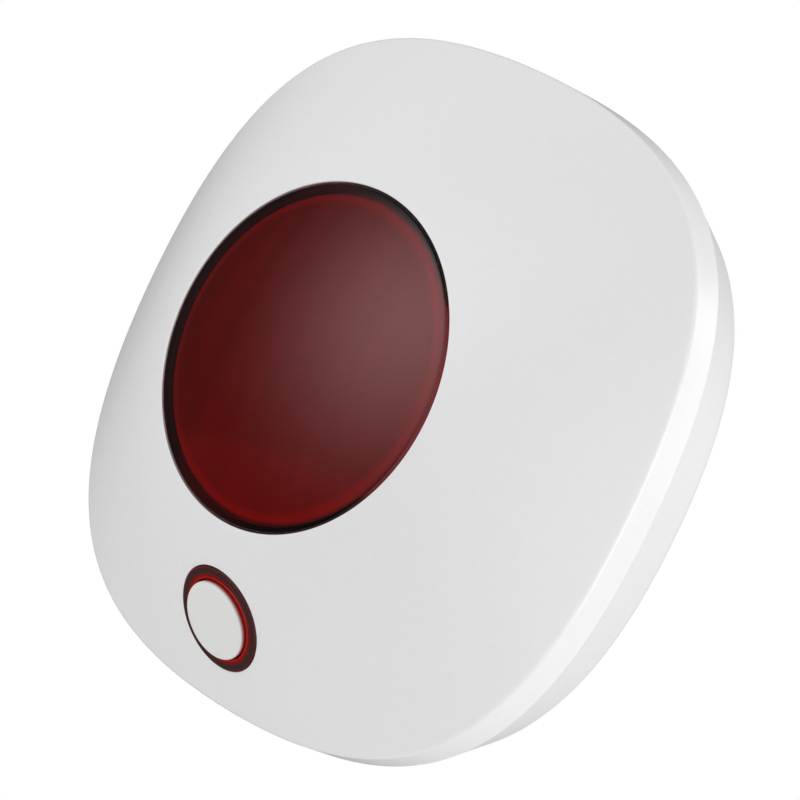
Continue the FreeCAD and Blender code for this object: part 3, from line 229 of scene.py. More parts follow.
def surface(name, tones, rough, scale, lift, stretch=(1.0, 1.0, 1.0), metallic=0.0, **sockets):
    """A Principled material with noise in its tone, its roughness and its bump."""
    material = bpy.data.materials.new(name)
    material.use_nodes = True
    tree = material.node_tree
    shader = tree.nodes["Principled BSDF"]
    shader.inputs["Metallic"].default_value = metallic
    for socket, value in sockets.items():
        shader.inputs[socket.replace("_", " ")].default_value = value
    place = tree.nodes.new("ShaderNodeTexCoord")
    mapping = tree.nodes.new("ShaderNodeMapping")
    mapping.inputs["Scale"].default_value = stretch
    tree.links.new(place.outputs["Object"], mapping.inputs["Vector"])
    noise = tree.nodes.new("ShaderNodeTexNoise")
    noise.inputs["Scale"].default_value = scale
    noise.inputs["Detail"].default_value = NOISE_DETAIL
    tree.links.new(mapping.outputs[0], noise.inputs["Vector"])
    tone = tree.nodes.new("ShaderNodeMix")
    tone.data_type = "RGBA"
    tone.inputs["A"].default_value = (*tones[0], 1.0)
    tone.inputs["B"].default_value = (*tones[1], 1.0)
    tree.links.new(noise.outputs["Fac"], tone.inputs["Factor"])
    tree.links.new(tone.outputs["Result"], shader.inputs["Base Color"])
    spread = tree.nodes.new("ShaderNodeMapRange")
    spread.inputs["To Min"].default_value = rough[0]
    spread.inputs["To Max"].default_value = rough[1]
    tree.links.new(noise.outputs["Fac"], spread.inputs["Value"])
    tree.links.new(spread.outputs["Result"], shader.inputs["Roughness"])
    bump = tree.nodes.new("ShaderNodeBump")
    bump.inputs["Strength"].default_value = BUMP_STRENGTH
    bump.inputs["Distance"].default_value = lift
    tree.links.new(noise.outputs["Fac"], bump.inputs["Height"])
    tree.links.new(bump.outputs["Normal"], shader.inputs["Normal"])
    return material


def over(material, mask, tone):
    """Lays a second tone over a finish where the mask is 1."""
    tree = material.node_tree
    shader = tree.nodes["Principled BSDF"]
    below = shader.inputs["Base Color"].links[0].from_socket
    mix = tree.nodes.new("ShaderNodeMix")
    mix.data_type = "RGBA"
    mix.inputs["B"].default_value = (*tone, 1.0)
    tree.links.new(below, mix.inputs["A"])
    tree.links.new(mask, mix.inputs["Factor"])
    tree.links.new(mix.outputs["Result"], shader.inputs["Base Color"])


def threshold(material, value, low, high):
    """Turns a smooth value into a mask with a soft edge between two limits."""
    tree = material.node_tree
    edge = tree.nodes.new("ShaderNodeMapRange")
    edge.interpolation_type = "SMOOTHSTEP"
    edge.inputs["From Min"].default_value = low
    edge.inputs["From Max"].default_value = high
    tree.links.new(value, edge.inputs["Value"])
    return edge.outputs["Result"]


RECIPES = {
    "white_gloss": (
        ((0.84, 0.84, 0.84), (0.87, 0.87, 0.87)), (0.2, 0.26), 900.0, 2e-6, {},
    ),
    "white_rear": (
        ((0.83, 0.83, 0.83), (0.86, 0.86, 0.86)), (0.3, 0.38), 1200.0, 6e-6, {},
    ),
    "white_cap": (
        ((0.80, 0.80, 0.785), (0.83, 0.83, 0.82)), (0.38, 0.46), 1500.0, 5e-6, {},
    ),
    "red_clear": (
        ((0.53, 0.024, 0.021), (0.58, 0.030, 0.025)), (0.05, 0.12), 120.0, 4e-6,
        {"stretch": (3.0, 3.0, 0.6), "Transmission_Weight": 1.0, "IOR": 1.49},
    ),
    "red_ring": (
        ((0.46, 0.008, 0.004), (0.50, 0.012, 0.006)), (0.06, 0.12), 400.0, 2e-6,
        {"Transmission_Weight": 0.15, "IOR": 1.49},
    ),
    "lead_red": (
        ((0.42, 0.03, 0.025), (0.52, 0.05, 0.04)), (0.35, 0.5), 500.0, 4e-6,
        {"Coat_Weight": 0.1},
    ),
    # Painted shade: the darker red of the lens skirt, where little light reaches.
    "red_painted_shade": (
        ((0.075, 0.012, 0.012), (0.10, 0.016, 0.016)), (0.08, 0.16), 300.0, 4e-6,
        {"Transmission_Weight": 0.35, "IOR": 1.49},
    ),
    "frosted": (
        ((0.42, 0.37, 0.36), (0.66, 0.58, 0.56)), (0.45, 0.6), 60.0, 1e-5,
        {"stretch": (3.0, 3.0, 0.5)},
    ),
    # Painted light: the paler shoulder of the diffuser, which draws the thin red line.
    "frosted_painted_light": (
        ((0.88, 0.86, 0.84), (0.93, 0.91, 0.9)), (0.3, 0.4), 400.0, 4e-6, {},
    ),
    "reflector_white": (
        ((0.86, 0.86, 0.85), (0.9, 0.9, 0.89)), (0.12, 0.2), 700.0, 2e-6, {},
    ),
    "zinc_steel": (
        ((0.56, 0.57, 0.6), (0.68, 0.68, 0.7)), (0.22, 0.4), 2600.0, 4e-6,
        {"stretch": (1.0, 0.3, 1.0), "metallic": 1.0},
    ),
    "board_green": (
        ((0.012, 0.13, 0.05), (0.02, 0.18, 0.07)), (0.25, 0.4), 1800.0, 5e-6, {},
    ),
    "board_blue": (
        ((0.015, 0.05, 0.2), (0.02, 0.07, 0.26)), (0.25, 0.4), 1800.0, 5e-6, {},
    ),
    "led_yellow": (
        ((0.80, 0.66, 0.16), (0.86, 0.74, 0.24)), (0.2, 0.35), 1500.0, 4e-6, {},
    ),
    "black_plastic": (
        ((0.018, 0.018, 0.019), (0.032, 0.032, 0.034)), (0.4, 0.58), 2200.0, 1e-5, {},
    ),
    "copper_wire": (
        ((0.55, 0.22, 0.09), (0.66, 0.30, 0.13)), (0.2, 0.32), 900.0, 3e-6,
        {"stretch": (1.0, 1.0, 0.1), "metallic": 1.0},
    ),
    "ferrite": (
        ((0.025, 0.024, 0.024), (0.05, 0.048, 0.046)), (0.55, 0.75), 3000.0, 1.2e-5, {},
    ),
    "can_aluminium": (
        ((0.62, 0.63, 0.65), (0.74, 0.74, 0.76)), (0.25, 0.38), 1400.0, 3e-6, {"metallic": 1.0},
    ),
    "cream_plastic": (
        ((0.66, 0.60, 0.44), (0.74, 0.68, 0.52)), (0.35, 0.5), 1300.0, 6e-6, {},
    ),
    "black_foam": (
        ((0.012, 0.012, 0.012), (0.05, 0.05, 0.05)), (0.8, 0.95), 2400.0, 1.2e-4, {},
    ),
    "brass_disc": (
        ((0.62, 0.45, 0.16), (0.74, 0.56, 0.24)), (0.2, 0.36), 1200.0, 3e-6,
        {"stretch": (0.2, 1.0, 3.0), "metallic": 1.0},
    ),
    "ceramic_disc": (
        ((0.62, 0.61, 0.56), (0.72, 0.70, 0.64)), (0.35, 0.5), 900.0, 4e-6, {},
    ),
    "battery_wrap": (
        ((0.40, 0.42, 0.45), (0.58, 0.60, 0.63)), (0.22, 0.42), 260.0, 9e-5,
        {"stretch": (1.0, 1.0, 0.5), "metallic": 0.6},
    ),
    "contact_metal": (
        ((0.62, 0.60, 0.56), (0.76, 0.74, 0.7)), (0.18, 0.3), 1800.0, 2e-6, {"metallic": 1.0},
    ),
    "switch_steel": (
        ((0.55, 0.55, 0.56), (0.68, 0.68, 0.69)), (0.25, 0.42), 1500.0, 5e-6,
        {"stretch": (0.3, 1.0, 1.0), "metallic": 1.0},
    ),
    "pin_plastic": (
        ((0.70, 0.70, 0.69), (0.78, 0.78, 0.77)), (0.3, 0.42), 1500.0, 5e-6, {},
    ),
}
FINISHES = {
    name: surface(name, tones, rough, scale, lift, **extras)
    for name, (tones, rough, scale, lift, extras) in RECIPES.items()
}
print("finishes", len(FINISHES))

# %% [markdown]
# The floor's finish is a paler version of the same recipe, matt enough to hold a soft shadow.

# %% Floor finish
floor_finish = surface(
    "floor_paper", ((0.86, 0.86, 0.86), (0.9, 0.9, 0.9)), (0.8, 0.9), 40.0, 1e-5
)
floor_mesh.materials.append(floor_finish)
print("floor finish", floor_finish.name)

# %% [markdown]
# Circuit boards need copper tracks under their solder mask. Two brick patterns of long thin
# cells, laid over each other, read as rows of tracks, and small round cells read as plated
# holes. Tin plated screws, foil and foam get by with the plain recipe.

# %% Circuit boards
TRACK_CELLS = ((0.012, 0.0011), (0.0009, 0.009))
TRACK_GAP = 0.00013
HOLE_SCALE = 260.0
HOLE_FROM, HOLE_TO = 0.16, 0.12
HOLE_TONE = (0.6, 0.58, 0.5)
TRACK_TONES = {"board_green": (0.03, 0.26, 0.10), "board_blue": (0.03, 0.12, 0.38)}


def add_tracks(material, track_tone):
    """Lays copper tracks and small plated holes over a solder mask."""
    tree = material.node_tree
    place = tree.nodes.new("ShaderNodeTexCoord")
    flat = tree.nodes.new("ShaderNodeMapping")
    flat.inputs["Rotation"].default_value = (math.radians(90.0), 0.0, 0.0)
    tree.links.new(place.outputs["Object"], flat.inputs["Vector"])
    for width, height in TRACK_CELLS:
        bricks = tree.nodes.new("ShaderNodeTexBrick")
        bricks.inputs["Scale"].default_value = 1.0
        bricks.inputs["Brick Width"].default_value = width
        bricks.inputs["Row Height"].default_value = height
        bricks.inputs["Mortar Size"].default_value = TRACK_GAP
        tree.links.new(flat.outputs[0], bricks.inputs["Vector"])
        over(material, bricks.outputs["Fac"], track_tone)
    cells = tree.nodes.new("ShaderNodeTexVoronoi")
    cells.inputs["Scale"].default_value = HOLE_SCALE
    tree.links.new(place.outputs["Object"], cells.inputs["Vector"])
    holes = threshold(material, cells.outputs["Distance"], HOLE_FROM, HOLE_TO)
    over(material, holes, HOLE_TONE)


for board_name, copper_tone in TRACK_TONES.items():
    add_tracks(FINISHES[board_name], copper_tone)
print("boards with tracks", len(TRACK_TONES))

# %% [markdown]
# The pieces are modelled lying on their back, as the CAD source does it: x to the right, y up
# the wall, z out of the wall, in millimetres. One matrix stands a finished piece up and brings
# it to metres. A second one carries the button's pieces from the button's own axis to its
# slanted place on the dome. Points that lie closer together than WELD become one.

# %% Placing
STAND_UP = Matrix.Rotation(math.radians(90.0), 4, "X") @ Matrix.Scale(0.001, 4)
BUTTON_DISTANCE = 46.0
BUTTON_HEIGHT = 32.551
BUTTON_SLOPE = 36.283
WELD = 1e-4
AT_BUTTON = Matrix.Translation((0.0, -BUTTON_DISTANCE, BUTTON_HEIGHT)) @ Matrix.Rotation(
    math.radians(BUTTON_SLOPE), 4, "X"
)


def make_piece(name, build, finish, body, stands_for, sharp=35.0, second=None):
    """Turns a finished bmesh into a piece of the object, with its finish and its body."""
    bmesh.ops.remove_doubles(build, verts=build.verts, dist=WELD)
    bmesh.ops.recalc_face_normals(build, faces=build.faces)
    mesh = bpy.data.meshes.new(name)
    build.to_mesh(mesh)
    build.free()
    mesh.transform(STAND_UP)
    mesh.materials.append(FINISHES[finish])
    if second:
        mesh.materials.append(FINISHES[second])
    mesh.shade_smooth()
    mesh.set_sharp_from_angle(angle=math.radians(sharp))
    piece = bpy.data.objects.new(name, mesh)
    scene.collection.objects.link(piece)
    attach(piece, body)
    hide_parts(stands_for)
    print(name, len(mesh.polygons), "faces")


# %% [markdown]
# Round pieces are turned on a lathe: a closed profile of radius and height is drawn as edges,
# then spun about the z axis. Corners that catch the light are rounded afterwards, by a bevel of
# the ring of edges at that radius and height, which is how a real edge gets its highlight.

# %% Lathe
NEAR = 1e-3


def lathe(profile, steps=96):
    """Spins a closed profile of (radius, height) points about the z axis."""
    build = bmesh.new()
    corners = [build.verts.new((radius, 0.0, height)) for radius, height in profile]
    loop = [build.edges.new(pair) for pair in zip(corners, corners[1:] + corners[:1])]
    bmesh.ops.spin(
        build, geom=corners + loop, cent=(0, 0, 0), axis=(0, 0, 1),
        angle=math.tau, steps=steps, use_merge=True,
    )
    bmesh.ops.remove_doubles(build, verts=build.verts, dist=WELD)
    return build


def round_ring(build, radius, height, width, segments):
    """Rounds the ring of edges at one radius and height."""
    def on_ring(vert):
        return abs(vert.co.xy.length - radius) < NEAR and abs(vert.co.z - height) < NEAR

    ring = [edge for edge in build.edges if all(on_ring(vert) for vert in edge.verts)]
    bmesh.ops.bevel(
        build, geom=ring, offset=width, segments=segments, affect="EDGES", profile=0.5,
        offset_type="OFFSET", material=-1,
    )


def crown(radius, top, reach, steps):
    """Points of a crowned surface from a reach in to its top."""
    points = []
    for step in range(steps + 1):
        out = reach * (1.0 - step / steps)
        points.append((out, top - radius + math.sqrt(radius * radius - out * out)))
    return points


print("lathe ready")

# %% [markdown]
# The case is not round: its outline goes from a circle at the lens to a rounded square at the
# crease. Each outline is four cubic curves, given by its half size and by how full its
# shoulders are. The dome is a smooth blend of three such outlines, so one formula gives the
# outline at any place between the lens, 0, and the crease, 1.

# %% Dome outlines
OUTLINE_HALF = 60.0
OUTLINE_FULLNESS = 0.717
CIRCLE_FULLNESS = 4.0 / 3.0 * (math.sqrt(2.0) - 1.0)
LENS_OPENING = 30.3
LENS_EDGE_HEIGHT = 42.0
LENS_EDGE_SLOPE = math.radians(24.1)
CREASE_HEIGHT = 21.0
CREASE_SLOPE = math.radians(42.2)
PARTING_HEIGHT = 15.0
SHELL_WALL = 2.2
HALVINGS = 40


def ring_at(half, fullness, height):
    """One outline as half size, shoulder and height."""
    return Vector((half, half * fullness, height))


def dome_rings(inset):
    """The three outlines that steer the dome, or the skin that lies inset below it."""
    start_out = LENS_OPENING - inset * math.sin(LENS_EDGE_SLOPE)
    start_up = LENS_EDGE_HEIGHT - inset * math.cos(LENS_EDGE_SLOPE)
    rise = inset * (1.0 - math.sin(CREASE_SLOPE)) * math.tan(CREASE_SLOPE)
    end_out = OUTLINE_HALF - inset
    end_up = CREASE_HEIGHT - inset * math.cos(CREASE_SLOPE) + rise
    fall = math.tan(LENS_EDGE_SLOPE)
    steep = math.tan(CREASE_SLOPE)
    middle = (start_up - end_up + fall * start_out - steep * end_out) / (fall - steep)
    return (
        ring_at(start_out, CIRCLE_FULLNESS, start_up),
        ring_at(middle, CIRCLE_FULLNESS, start_up - fall * (middle - start_out)),
        ring_at(end_out, OUTLINE_FULLNESS, end_up),
    )


def blend(rings, place):
    """The outline at a place along three outlines, from 0 at the first to 1 at the last."""
    back = 1.0 - place
    return back * back * rings[0] + 2.0 * back * place * rings[1] + place * place * rings[2]


def place_of(rings, radius):
    """The place along the dome where its half size is the radius."""
    low, high = 0.0, 1.0
    for halving in range(HALVINGS):
        middle = (low + high) / 2.0
        if blend(rings, middle)[0] < radius:
            low = middle
        else:
            high = middle
    return low


print("dome height half way", round(blend(dome_rings(0.0), 0.5)[2], 2))

# %% [markdown]
# A shell of such outlines is drawn by extrusion. A circle of edges is moved onto the first
# outline, and each further outline is one extrusion of the ring before it, so every face is a
# clean quad. The last ring is bridged to the first, which closes the wall of the shell.

# %% Drawing outlines
CURVE_POINTS = 56


def outline_points(ring):
    """Points round an outline, evenly shared among its four curves."""
    half, shoulder, height = ring
    points = []
    for quarter in range(4):
        for step in range(CURVE_POINTS):
            t = step / CURVE_POINTS
            back = 1.0 - t
            x = half * back * back * (back + 3.0 * t) + 3.0 * shoulder * back * t * t
            y = half * t * t * (t + 3.0 * back) + 3.0 * shoulder * t * back * back
            for quarter_turn in range(quarter):
                x, y = -y, x
            points.append(Vector((x, y, height)))
    return points


def draw_shell(rings):
    """Draws a closed wall through the outlines, in their order."""
    build = bmesh.new()
    points = 4 * CURVE_POINTS
    verts = bmesh.ops.create_circle(build, segments=points, radius=1.0, cap_ends=False)["verts"]
    first = [edge for edge in build.edges if edge.verts[0] in verts]
    edges = first
    for number, ring in enumerate(rings):
        if number:
            grown = bmesh.ops.extrude_edge_only(build, edges=edges)["geom"]
            fresh = {item for item in grown if isinstance(item, bmesh.types.BMVert)}
            edges = [item for item in grown if isinstance(item, bmesh.types.BMEdge)]
            edges = [edge for edge in edges if all(vert in fresh for vert in edge.verts)]
            verts = [
                next(edge.other_vert(vert) for edge in vert.link_edges
                     if edge.other_vert(vert) in fresh)
                for vert in verts
            ]
        for vert, point in zip(verts, outline_points(ring)):
            vert.co = point
    bmesh.ops.bridge_loops(build, edges=edges + first)
    return build


print("one outline has", len(outline_points(dome_rings(0.0)[0])), "points")

# %% [markdown]
# The front moulding runs from the seat of the lens up the bore, over a small rounding, down the
# dome, round the crease and down the side wall, and comes back on the inside. The crease and
# the rims are quadratic blends: two outlines and the sharp corner between them. A crease of
# about one millimetre radius gives the narrow bright line that the photograph shows. At its
# foot, a thin skirt reaches down into the seam groove of the rear moulding, which leaves only a
# hair line between the two, as in the photograph.

# %% Front moulding
LENS_SEAT = 38.251
LENS_SEAT_RADIUS = 32.7
RIM_SOFT, CREASE_SOFT, FOOT_SOFT = 0.3, 0.6, 0.06
RIM_STEPS, CREASE_STEPS = 5, 8
DOME_STEPS, INSIDE_STEPS = 52, 26
SEAM_CLOSED = 0.24
SKIRT_WIDTH = 0.25


def soft_corner(before, corner, after, steps):
    """Outlines that round a corner between two outlines."""
    return [blend((before, corner, after), step / steps) for step in range(1, steps)]


def spaced(rings, first, last, steps):
    """Outlines at even places along the dome."""
    return [blend(rings, first + (last - first) * step / steps) for step in range(steps + 1)]


outer = dome_rings(0.0)
inner = dome_rings(SHELL_WALL)
bore_top = ring_at(LENS_OPENING, CIRCLE_FULLNESS, LENS_EDGE_HEIGHT - RIM_SOFT)
dome = spaced(outer, place_of(outer, LENS_OPENING + RIM_SOFT),
              place_of(outer, OUTLINE_HALF - CREASE_SOFT), DOME_STEPS)
wall_top = ring_at(OUTLINE_HALF, OUTLINE_FULLNESS, CREASE_HEIGHT - CREASE_SOFT)
skirt_foot = PARTING_HEIGHT - SEAM_CLOSED
wall_foot = ring_at(OUTLINE_HALF, OUTLINE_FULLNESS, skirt_foot + FOOT_SOFT)
foot = ring_at(OUTLINE_HALF - FOOT_SOFT, OUTLINE_FULLNESS, skirt_foot)
skirt_half = OUTLINE_HALF - SKIRT_WIDTH
front_rings = [ring_at(LENS_OPENING, CIRCLE_FULLNESS, LENS_SEAT), bore_top]
front_rings += soft_corner(bore_top, outer[0], dome[0], RIM_STEPS) + dome
front_rings += soft_corner(dome[-1], outer[2], wall_top, CREASE_STEPS)
front_rings += [
    wall_top, wall_foot, foot,
    ring_at(skirt_half, OUTLINE_FULLNESS, skirt_foot),
    ring_at(skirt_half, OUTLINE_FULLNESS, PARTING_HEIGHT),
    ring_at(OUTLINE_HALF - SHELL_WALL, OUTLINE_FULLNESS, PARTING_HEIGHT),
]
front_rings += spaced(inner, 1.0, place_of(inner, LENS_SEAT_RADIUS), INSIDE_STEPS)
front_rings.append(ring_at(LENS_SEAT_RADIUS, CIRCLE_FULLNESS, LENS_SEAT))
front_build = draw_shell(front_rings)
print("outlines in the front moulding", len(front_rings))

# %% [markdown]
# The hole for the light ring is cut with a turned cutter. A boolean is the right tool here,
# because the hole crosses the dome at a slant. Before the cut, the dome is kept as a search
# tree: the light ring's top is dropped onto it later, so that the two follow the same curve.

# %% Button hole
RING_HOLE = 9.6
HOLE_TOP, HOLE_LOW = 4.0, -8.0
ABOVE_DOME = 60.0
dome_tree = BVHTree.FromBMesh(front_build)


def drop(point, axis):
    """Where a point lands on the outside of the dome when it comes down along an axis."""
    return dome_tree.ray_cast(point + axis * ABOVE_DOME, -axis)[0]


def cut_with(build, cutter):
    """Cuts one closed bmesh out of another and returns the result."""
    results = []
    for name, source in (("cut_body", build), ("cut_tool", cutter)):
        bmesh.ops.remove_doubles(source, verts=source.verts, dist=WELD)
        bmesh.ops.recalc_face_normals(source, faces=source.faces)
        mesh = bpy.data.meshes.new(name)
        source.to_mesh(mesh)
        source.free()
        results.append(bpy.data.objects.new(name, mesh))
        scene.collection.objects.link(results[-1])
    body, tool = results
    boolean = body.modifiers.new("cut", "BOOLEAN")
    boolean.operation = "DIFFERENCE"
    boolean.solver = "EXACT"
    boolean.object = tool
    cut_mesh = bpy.data.meshes.new_from_object(
        body.evaluated_get(bpy.context.evaluated_depsgraph_get())
    )
    result = bmesh.new()
    result.from_mesh(cut_mesh)
    for used in results:
        bpy.data.meshes.remove(used.data)
    bpy.data.meshes.remove(cut_mesh)
    return result


hole_cutter = lathe([
    (0.0, HOLE_TOP), (RING_HOLE, HOLE_TOP), (RING_HOLE, HOLE_LOW), (0.0, HOLE_LOW),
], steps=128)
bmesh.ops.transform(hole_cutter, matrix=AT_BUTTON, verts=hole_cutter.verts)
front_build = cut_with(front_build, hole_cutter)
print("front faces after the cut", len(front_build.faces))

# %% [markdown]
# Inside the moulding stand the collar that carries the light ring and the bosses for the case
# screws, for the reflector and for the button's small board. Each is a turned tube whose upper
# end is sunk into the wall, as a moulded boss is. They are added to the same mesh.

# %% Collar and bosses
CASE_SPREAD = 35.203
CASE_PLACES = [(x * CASE_SPREAD, y * CASE_SPREAD) for x in (-1.0, 1.0) for y in (-1.0, 1.0)]
EAR_CIRCLE = 36.0
EAR_PLACES = [
    (EAR_CIRCLE * math.cos(math.radians(angle)), EAR_CIRCLE * math.sin(math.radians(angle)))
    for angle in (90.0, 210.0, 330.0)
]
BOARD_PLACES = [(-15.0, 0.0), (15.0, 0.0)]
CASE_BOSS = {"radius": 3.4, "bore": 1.45, "low": 10.0, "depth": 10.5}
EAR_BOSS = {"radius": 2.6, "bore": 1.15, "low": 30.251, "depth": 4.1}
BOARD_BOSS = {"radius": 2.6, "bore": 1.15, "low": -13.9, "depth": 4.1}
BOSS_REACH = 30.0
SUNK_SHARE = 0.6
COLLAR_RADIUS, COLLAR_TOP, COLLAR_LOW = 11.4, -1.4, -4.4


def join_to(build, part):
    """Adds one bmesh to another and frees it."""
    mesh = bpy.data.meshes.new("part")
    part.to_mesh(mesh)
    part.free()
    build.from_mesh(mesh)
    bpy.data.meshes.remove(mesh)


def boss(build, matrix, radius, bore, low, depth):
    """A moulded boss with a blind hole. Its far end is dropped onto the middle of the wall."""
    far = low + BOSS_REACH
    post = lathe([
        (bore, low), (radius, low), (radius, far), (0.0, far),
        (0.0, low + depth), (bore, low + depth),
    ], steps=32)
    ends = [vert for vert in post.verts if vert.co.z > far - NEAR]
    bmesh.ops.transform(post, matrix=matrix, verts=post.verts)
    axis = matrix.to_3x3() @ Vector((0.0, 0.0, 1.0))
    for vert in ends:
        vert.co = drop(vert.co, axis) - axis * SHELL_WALL * SUNK_SHARE
    join_to(build, post)


for places, plane, boss_sizes in (
    (CASE_PLACES, Matrix.Identity(4), CASE_BOSS),
    (EAR_PLACES, Matrix.Identity(4), EAR_BOSS),
    (BOARD_PLACES, AT_BUTTON, BOARD_BOSS),
):
    for x, y in places:
        boss(front_build, plane @ Matrix.Translation((x, y, 0.0)), **boss_sizes)
collar = lathe([
    (RING_HOLE, COLLAR_LOW), (COLLAR_RADIUS, COLLAR_LOW),
    (COLLAR_RADIUS, COLLAR_TOP), (RING_HOLE, COLLAR_TOP),
])
bmesh.ops.transform(collar, matrix=AT_BUTTON, verts=collar.verts)
join_to(front_build, collar)
make_piece("front_moulding", front_build, "white_gloss", "housing", "front_shell")

# %% [markdown]
# The rear moulding keeps the shape of its CAD node, with its posts, keyholes and slots, and
# only its shading is improved. Long thin faces meet where a screw hole cuts the rounded back
# edge, and plain smooth shading would crumple there. So a smooth guide of the outside is drawn
# from the same outlines, and every corner of the copy that lies on the outside borrows the
# guide's normal. Level faces keep their own normal, and real corners above thirty degrees
# stay crisp.

# %% Rear moulding
REAR_INSET = 5.3
REAR_FULLNESS = 0.70
BACK_EDGE_RADIUS = 3.2
FLAT_HALVES = (8.0, 40.0)
EDGE_STEPS, WALL_STEPS = 16, 6
NEAR_GUIDE = 0.25
FACES_ALIKE = 0.75
LEVEL = 0.9999
NODE_WELD = 2e-6


def rear_guide():
    """The outside of the rear moulding as a smooth open skin, with its search tree."""
    taper = math.atan2(REAR_INSET, PARTING_HEIGHT)
    back_half = OUTLINE_HALF - REAR_INSET
    setback = BACK_EDGE_RADIUS / math.tan((math.pi / 2.0 + taper) / 2.0)
    rise = setback * math.cos(taper)
    wall_half = OUTLINE_HALF - REAR_INSET * (PARTING_HEIGHT - rise) / PARTING_HEIGHT
    rounding = (
        ring_at(back_half - setback, REAR_FULLNESS, 0.0),
        ring_at(back_half, REAR_FULLNESS, 0.0),
        ring_at(wall_half, REAR_FULLNESS, rise),
    )
    rings = [ring_at(half, REAR_FULLNESS, 0.0) for half in FLAT_HALVES]
    rings += spaced(rounding, 0.0, 1.0, EDGE_STEPS)
    top = ring_at(OUTLINE_HALF, OUTLINE_FULLNESS, PARTING_HEIGHT)
    rings += [rounding[2].lerp(top, step / WALL_STEPS) for step in range(1, WALL_STEPS + 1)]
    guide = draw_shell(rings)
    bmesh.ops.recalc_face_normals(guide, faces=guide.faces)
    closing = [face for face in guide.faces
               if {0.0, PARTING_HEIGHT} <= {round(vert.co.z, 3) for vert in face.verts}]
    bmesh.ops.delete(guide, geom=closing, context="FACES_ONLY")
    guide.normal_update()
    guide.faces.ensure_lookup_table()
    return guide, BVHTree.FromBMesh(guide)


def guided_normal(guide, tree, point, facing):
    """The guide's smooth normal at a point in millimetres, or none where it is too far off."""
    place, normal, number = tree.find_nearest(point, NEAR_GUIDE)[:3]
    if place is None or normal.dot(facing) < FACES_ALIKE:
        return None
    corners = guide.faces[number].verts
    shares = poly_3d_calc([corner.co for corner in corners], place)
    return sum((share * corner.normal for share, corner in zip(shares, corners)), Vector())


def smooth_copy(node_name, name, finish, sharp=30.0):
    """A welded copy of a CAD node whose outside is shaded like its smooth guide."""
    build = bmesh.new()
    build.from_mesh(nodes[node_name].data)
    bmesh.ops.remove_doubles(build, verts=build.verts, dist=NODE_WELD)
    mesh = bpy.data.meshes.new(name)
    build.to_mesh(mesh)
    build.free()
    mesh.materials.append(FINISHES[finish])
    mesh.shade_smooth()
    mesh.set_sharp_from_angle(angle=math.radians(sharp))
    guide, tree = rear_guide()
    lie_down = STAND_UP.inverted()
    turn_down = lie_down.to_quaternion()
    turn_up = turn_down.inverted()
    normals = [Vector() for corner in mesh.loops]
    guided = 0
    for face in mesh.polygons:
        facing = turn_down @ face.normal
        if abs(facing.z) > LEVEL:
            for corner in face.loop_indices:
                normals[corner] = face.normal.copy()
            continue
        found = [guided_normal(guide, tree, lie_down @ mesh.vertices[number].co, facing)
                 for number in face.vertices]
        if None not in found:
            guided += 1
            for corner, normal in zip(face.loop_indices, found):
                normals[corner] = (turn_up @ normal).normalized()
    guide.free()
    mesh.normals_split_custom_set(normals)
    piece = bpy.data.objects.new(name, mesh)
    scene.collection.objects.link(piece)
    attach(piece, body_of(nodes[node_name])[0])
    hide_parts(node_name)
    print(name, len(mesh.polygons), "faces,", guided, "shaded by the guide")


smooth_copy("rear_shell", "rear_moulding", "white_rear")

# %% [markdown]
# The lens is a clear red cup with a crowned top. Because it is clear, its thickness shows: at
# the left one looks through the crown at the dark skirt, and at the right the skirt hides
# behind the rim. So it is turned with its true walls, and only then given its soft rim. The
# skirt gets a much darker red, which is painted shade, because light reaches it only through
# the length of the plastic.

# %% Lens
CROWN_RADIUS = 80.0
LENS_RADIUS, LENS_BORE = 30.1, 28.6
LENS_WALL = 2.0
LENS_FLANGE, FLANGE_DEPTH = 32.4, 1.6
SHADE_RADIUS = 28.3
SHADE_TOP = LENS_EDGE_HEIGHT - 1.1


def mark_second(build, radius, low, high):
    """Gives the faces outside a radius and between two heights the piece's second finish."""
    for face in build.faces:
        middle = face.calc_center_median()
        if middle.xy.length > radius and low < middle.z < high:
            face.material_index = 1


crown_top = LENS_EDGE_HEIGHT + CROWN_RADIUS - math.sqrt(CROWN_RADIUS**2 - LENS_RADIUS**2)
lens_low = LENS_SEAT - FLANGE_DEPTH
lens_profile = crown(CROWN_RADIUS, crown_top, LENS_RADIUS, 40)[::-1]
lens_profile += [(LENS_RADIUS, LENS_SEAT), (LENS_FLANGE, LENS_SEAT)]
lens_profile += [(LENS_FLANGE, lens_low), (LENS_BORE, lens_low)]
lens_profile += crown(CROWN_RADIUS - LENS_WALL, crown_top - LENS_WALL, LENS_BORE, 30)
lens_build = lathe(lens_profile, steps=192)
round_ring(lens_build, LENS_RADIUS, LENS_EDGE_HEIGHT, width=0.5, segments=6)
round_ring(lens_build, LENS_FLANGE, LENS_SEAT, width=0.2, segments=2)
round_ring(lens_build, LENS_FLANGE, lens_low, width=0.2, segments=2)
mark_second(lens_build, SHADE_RADIUS, -math.inf, SHADE_TOP)
make_piece(
    "lens_cup", lens_build, "red_clear", "housing", "strobe_lens",
    sharp=40.0, second="red_painted_shade",
)
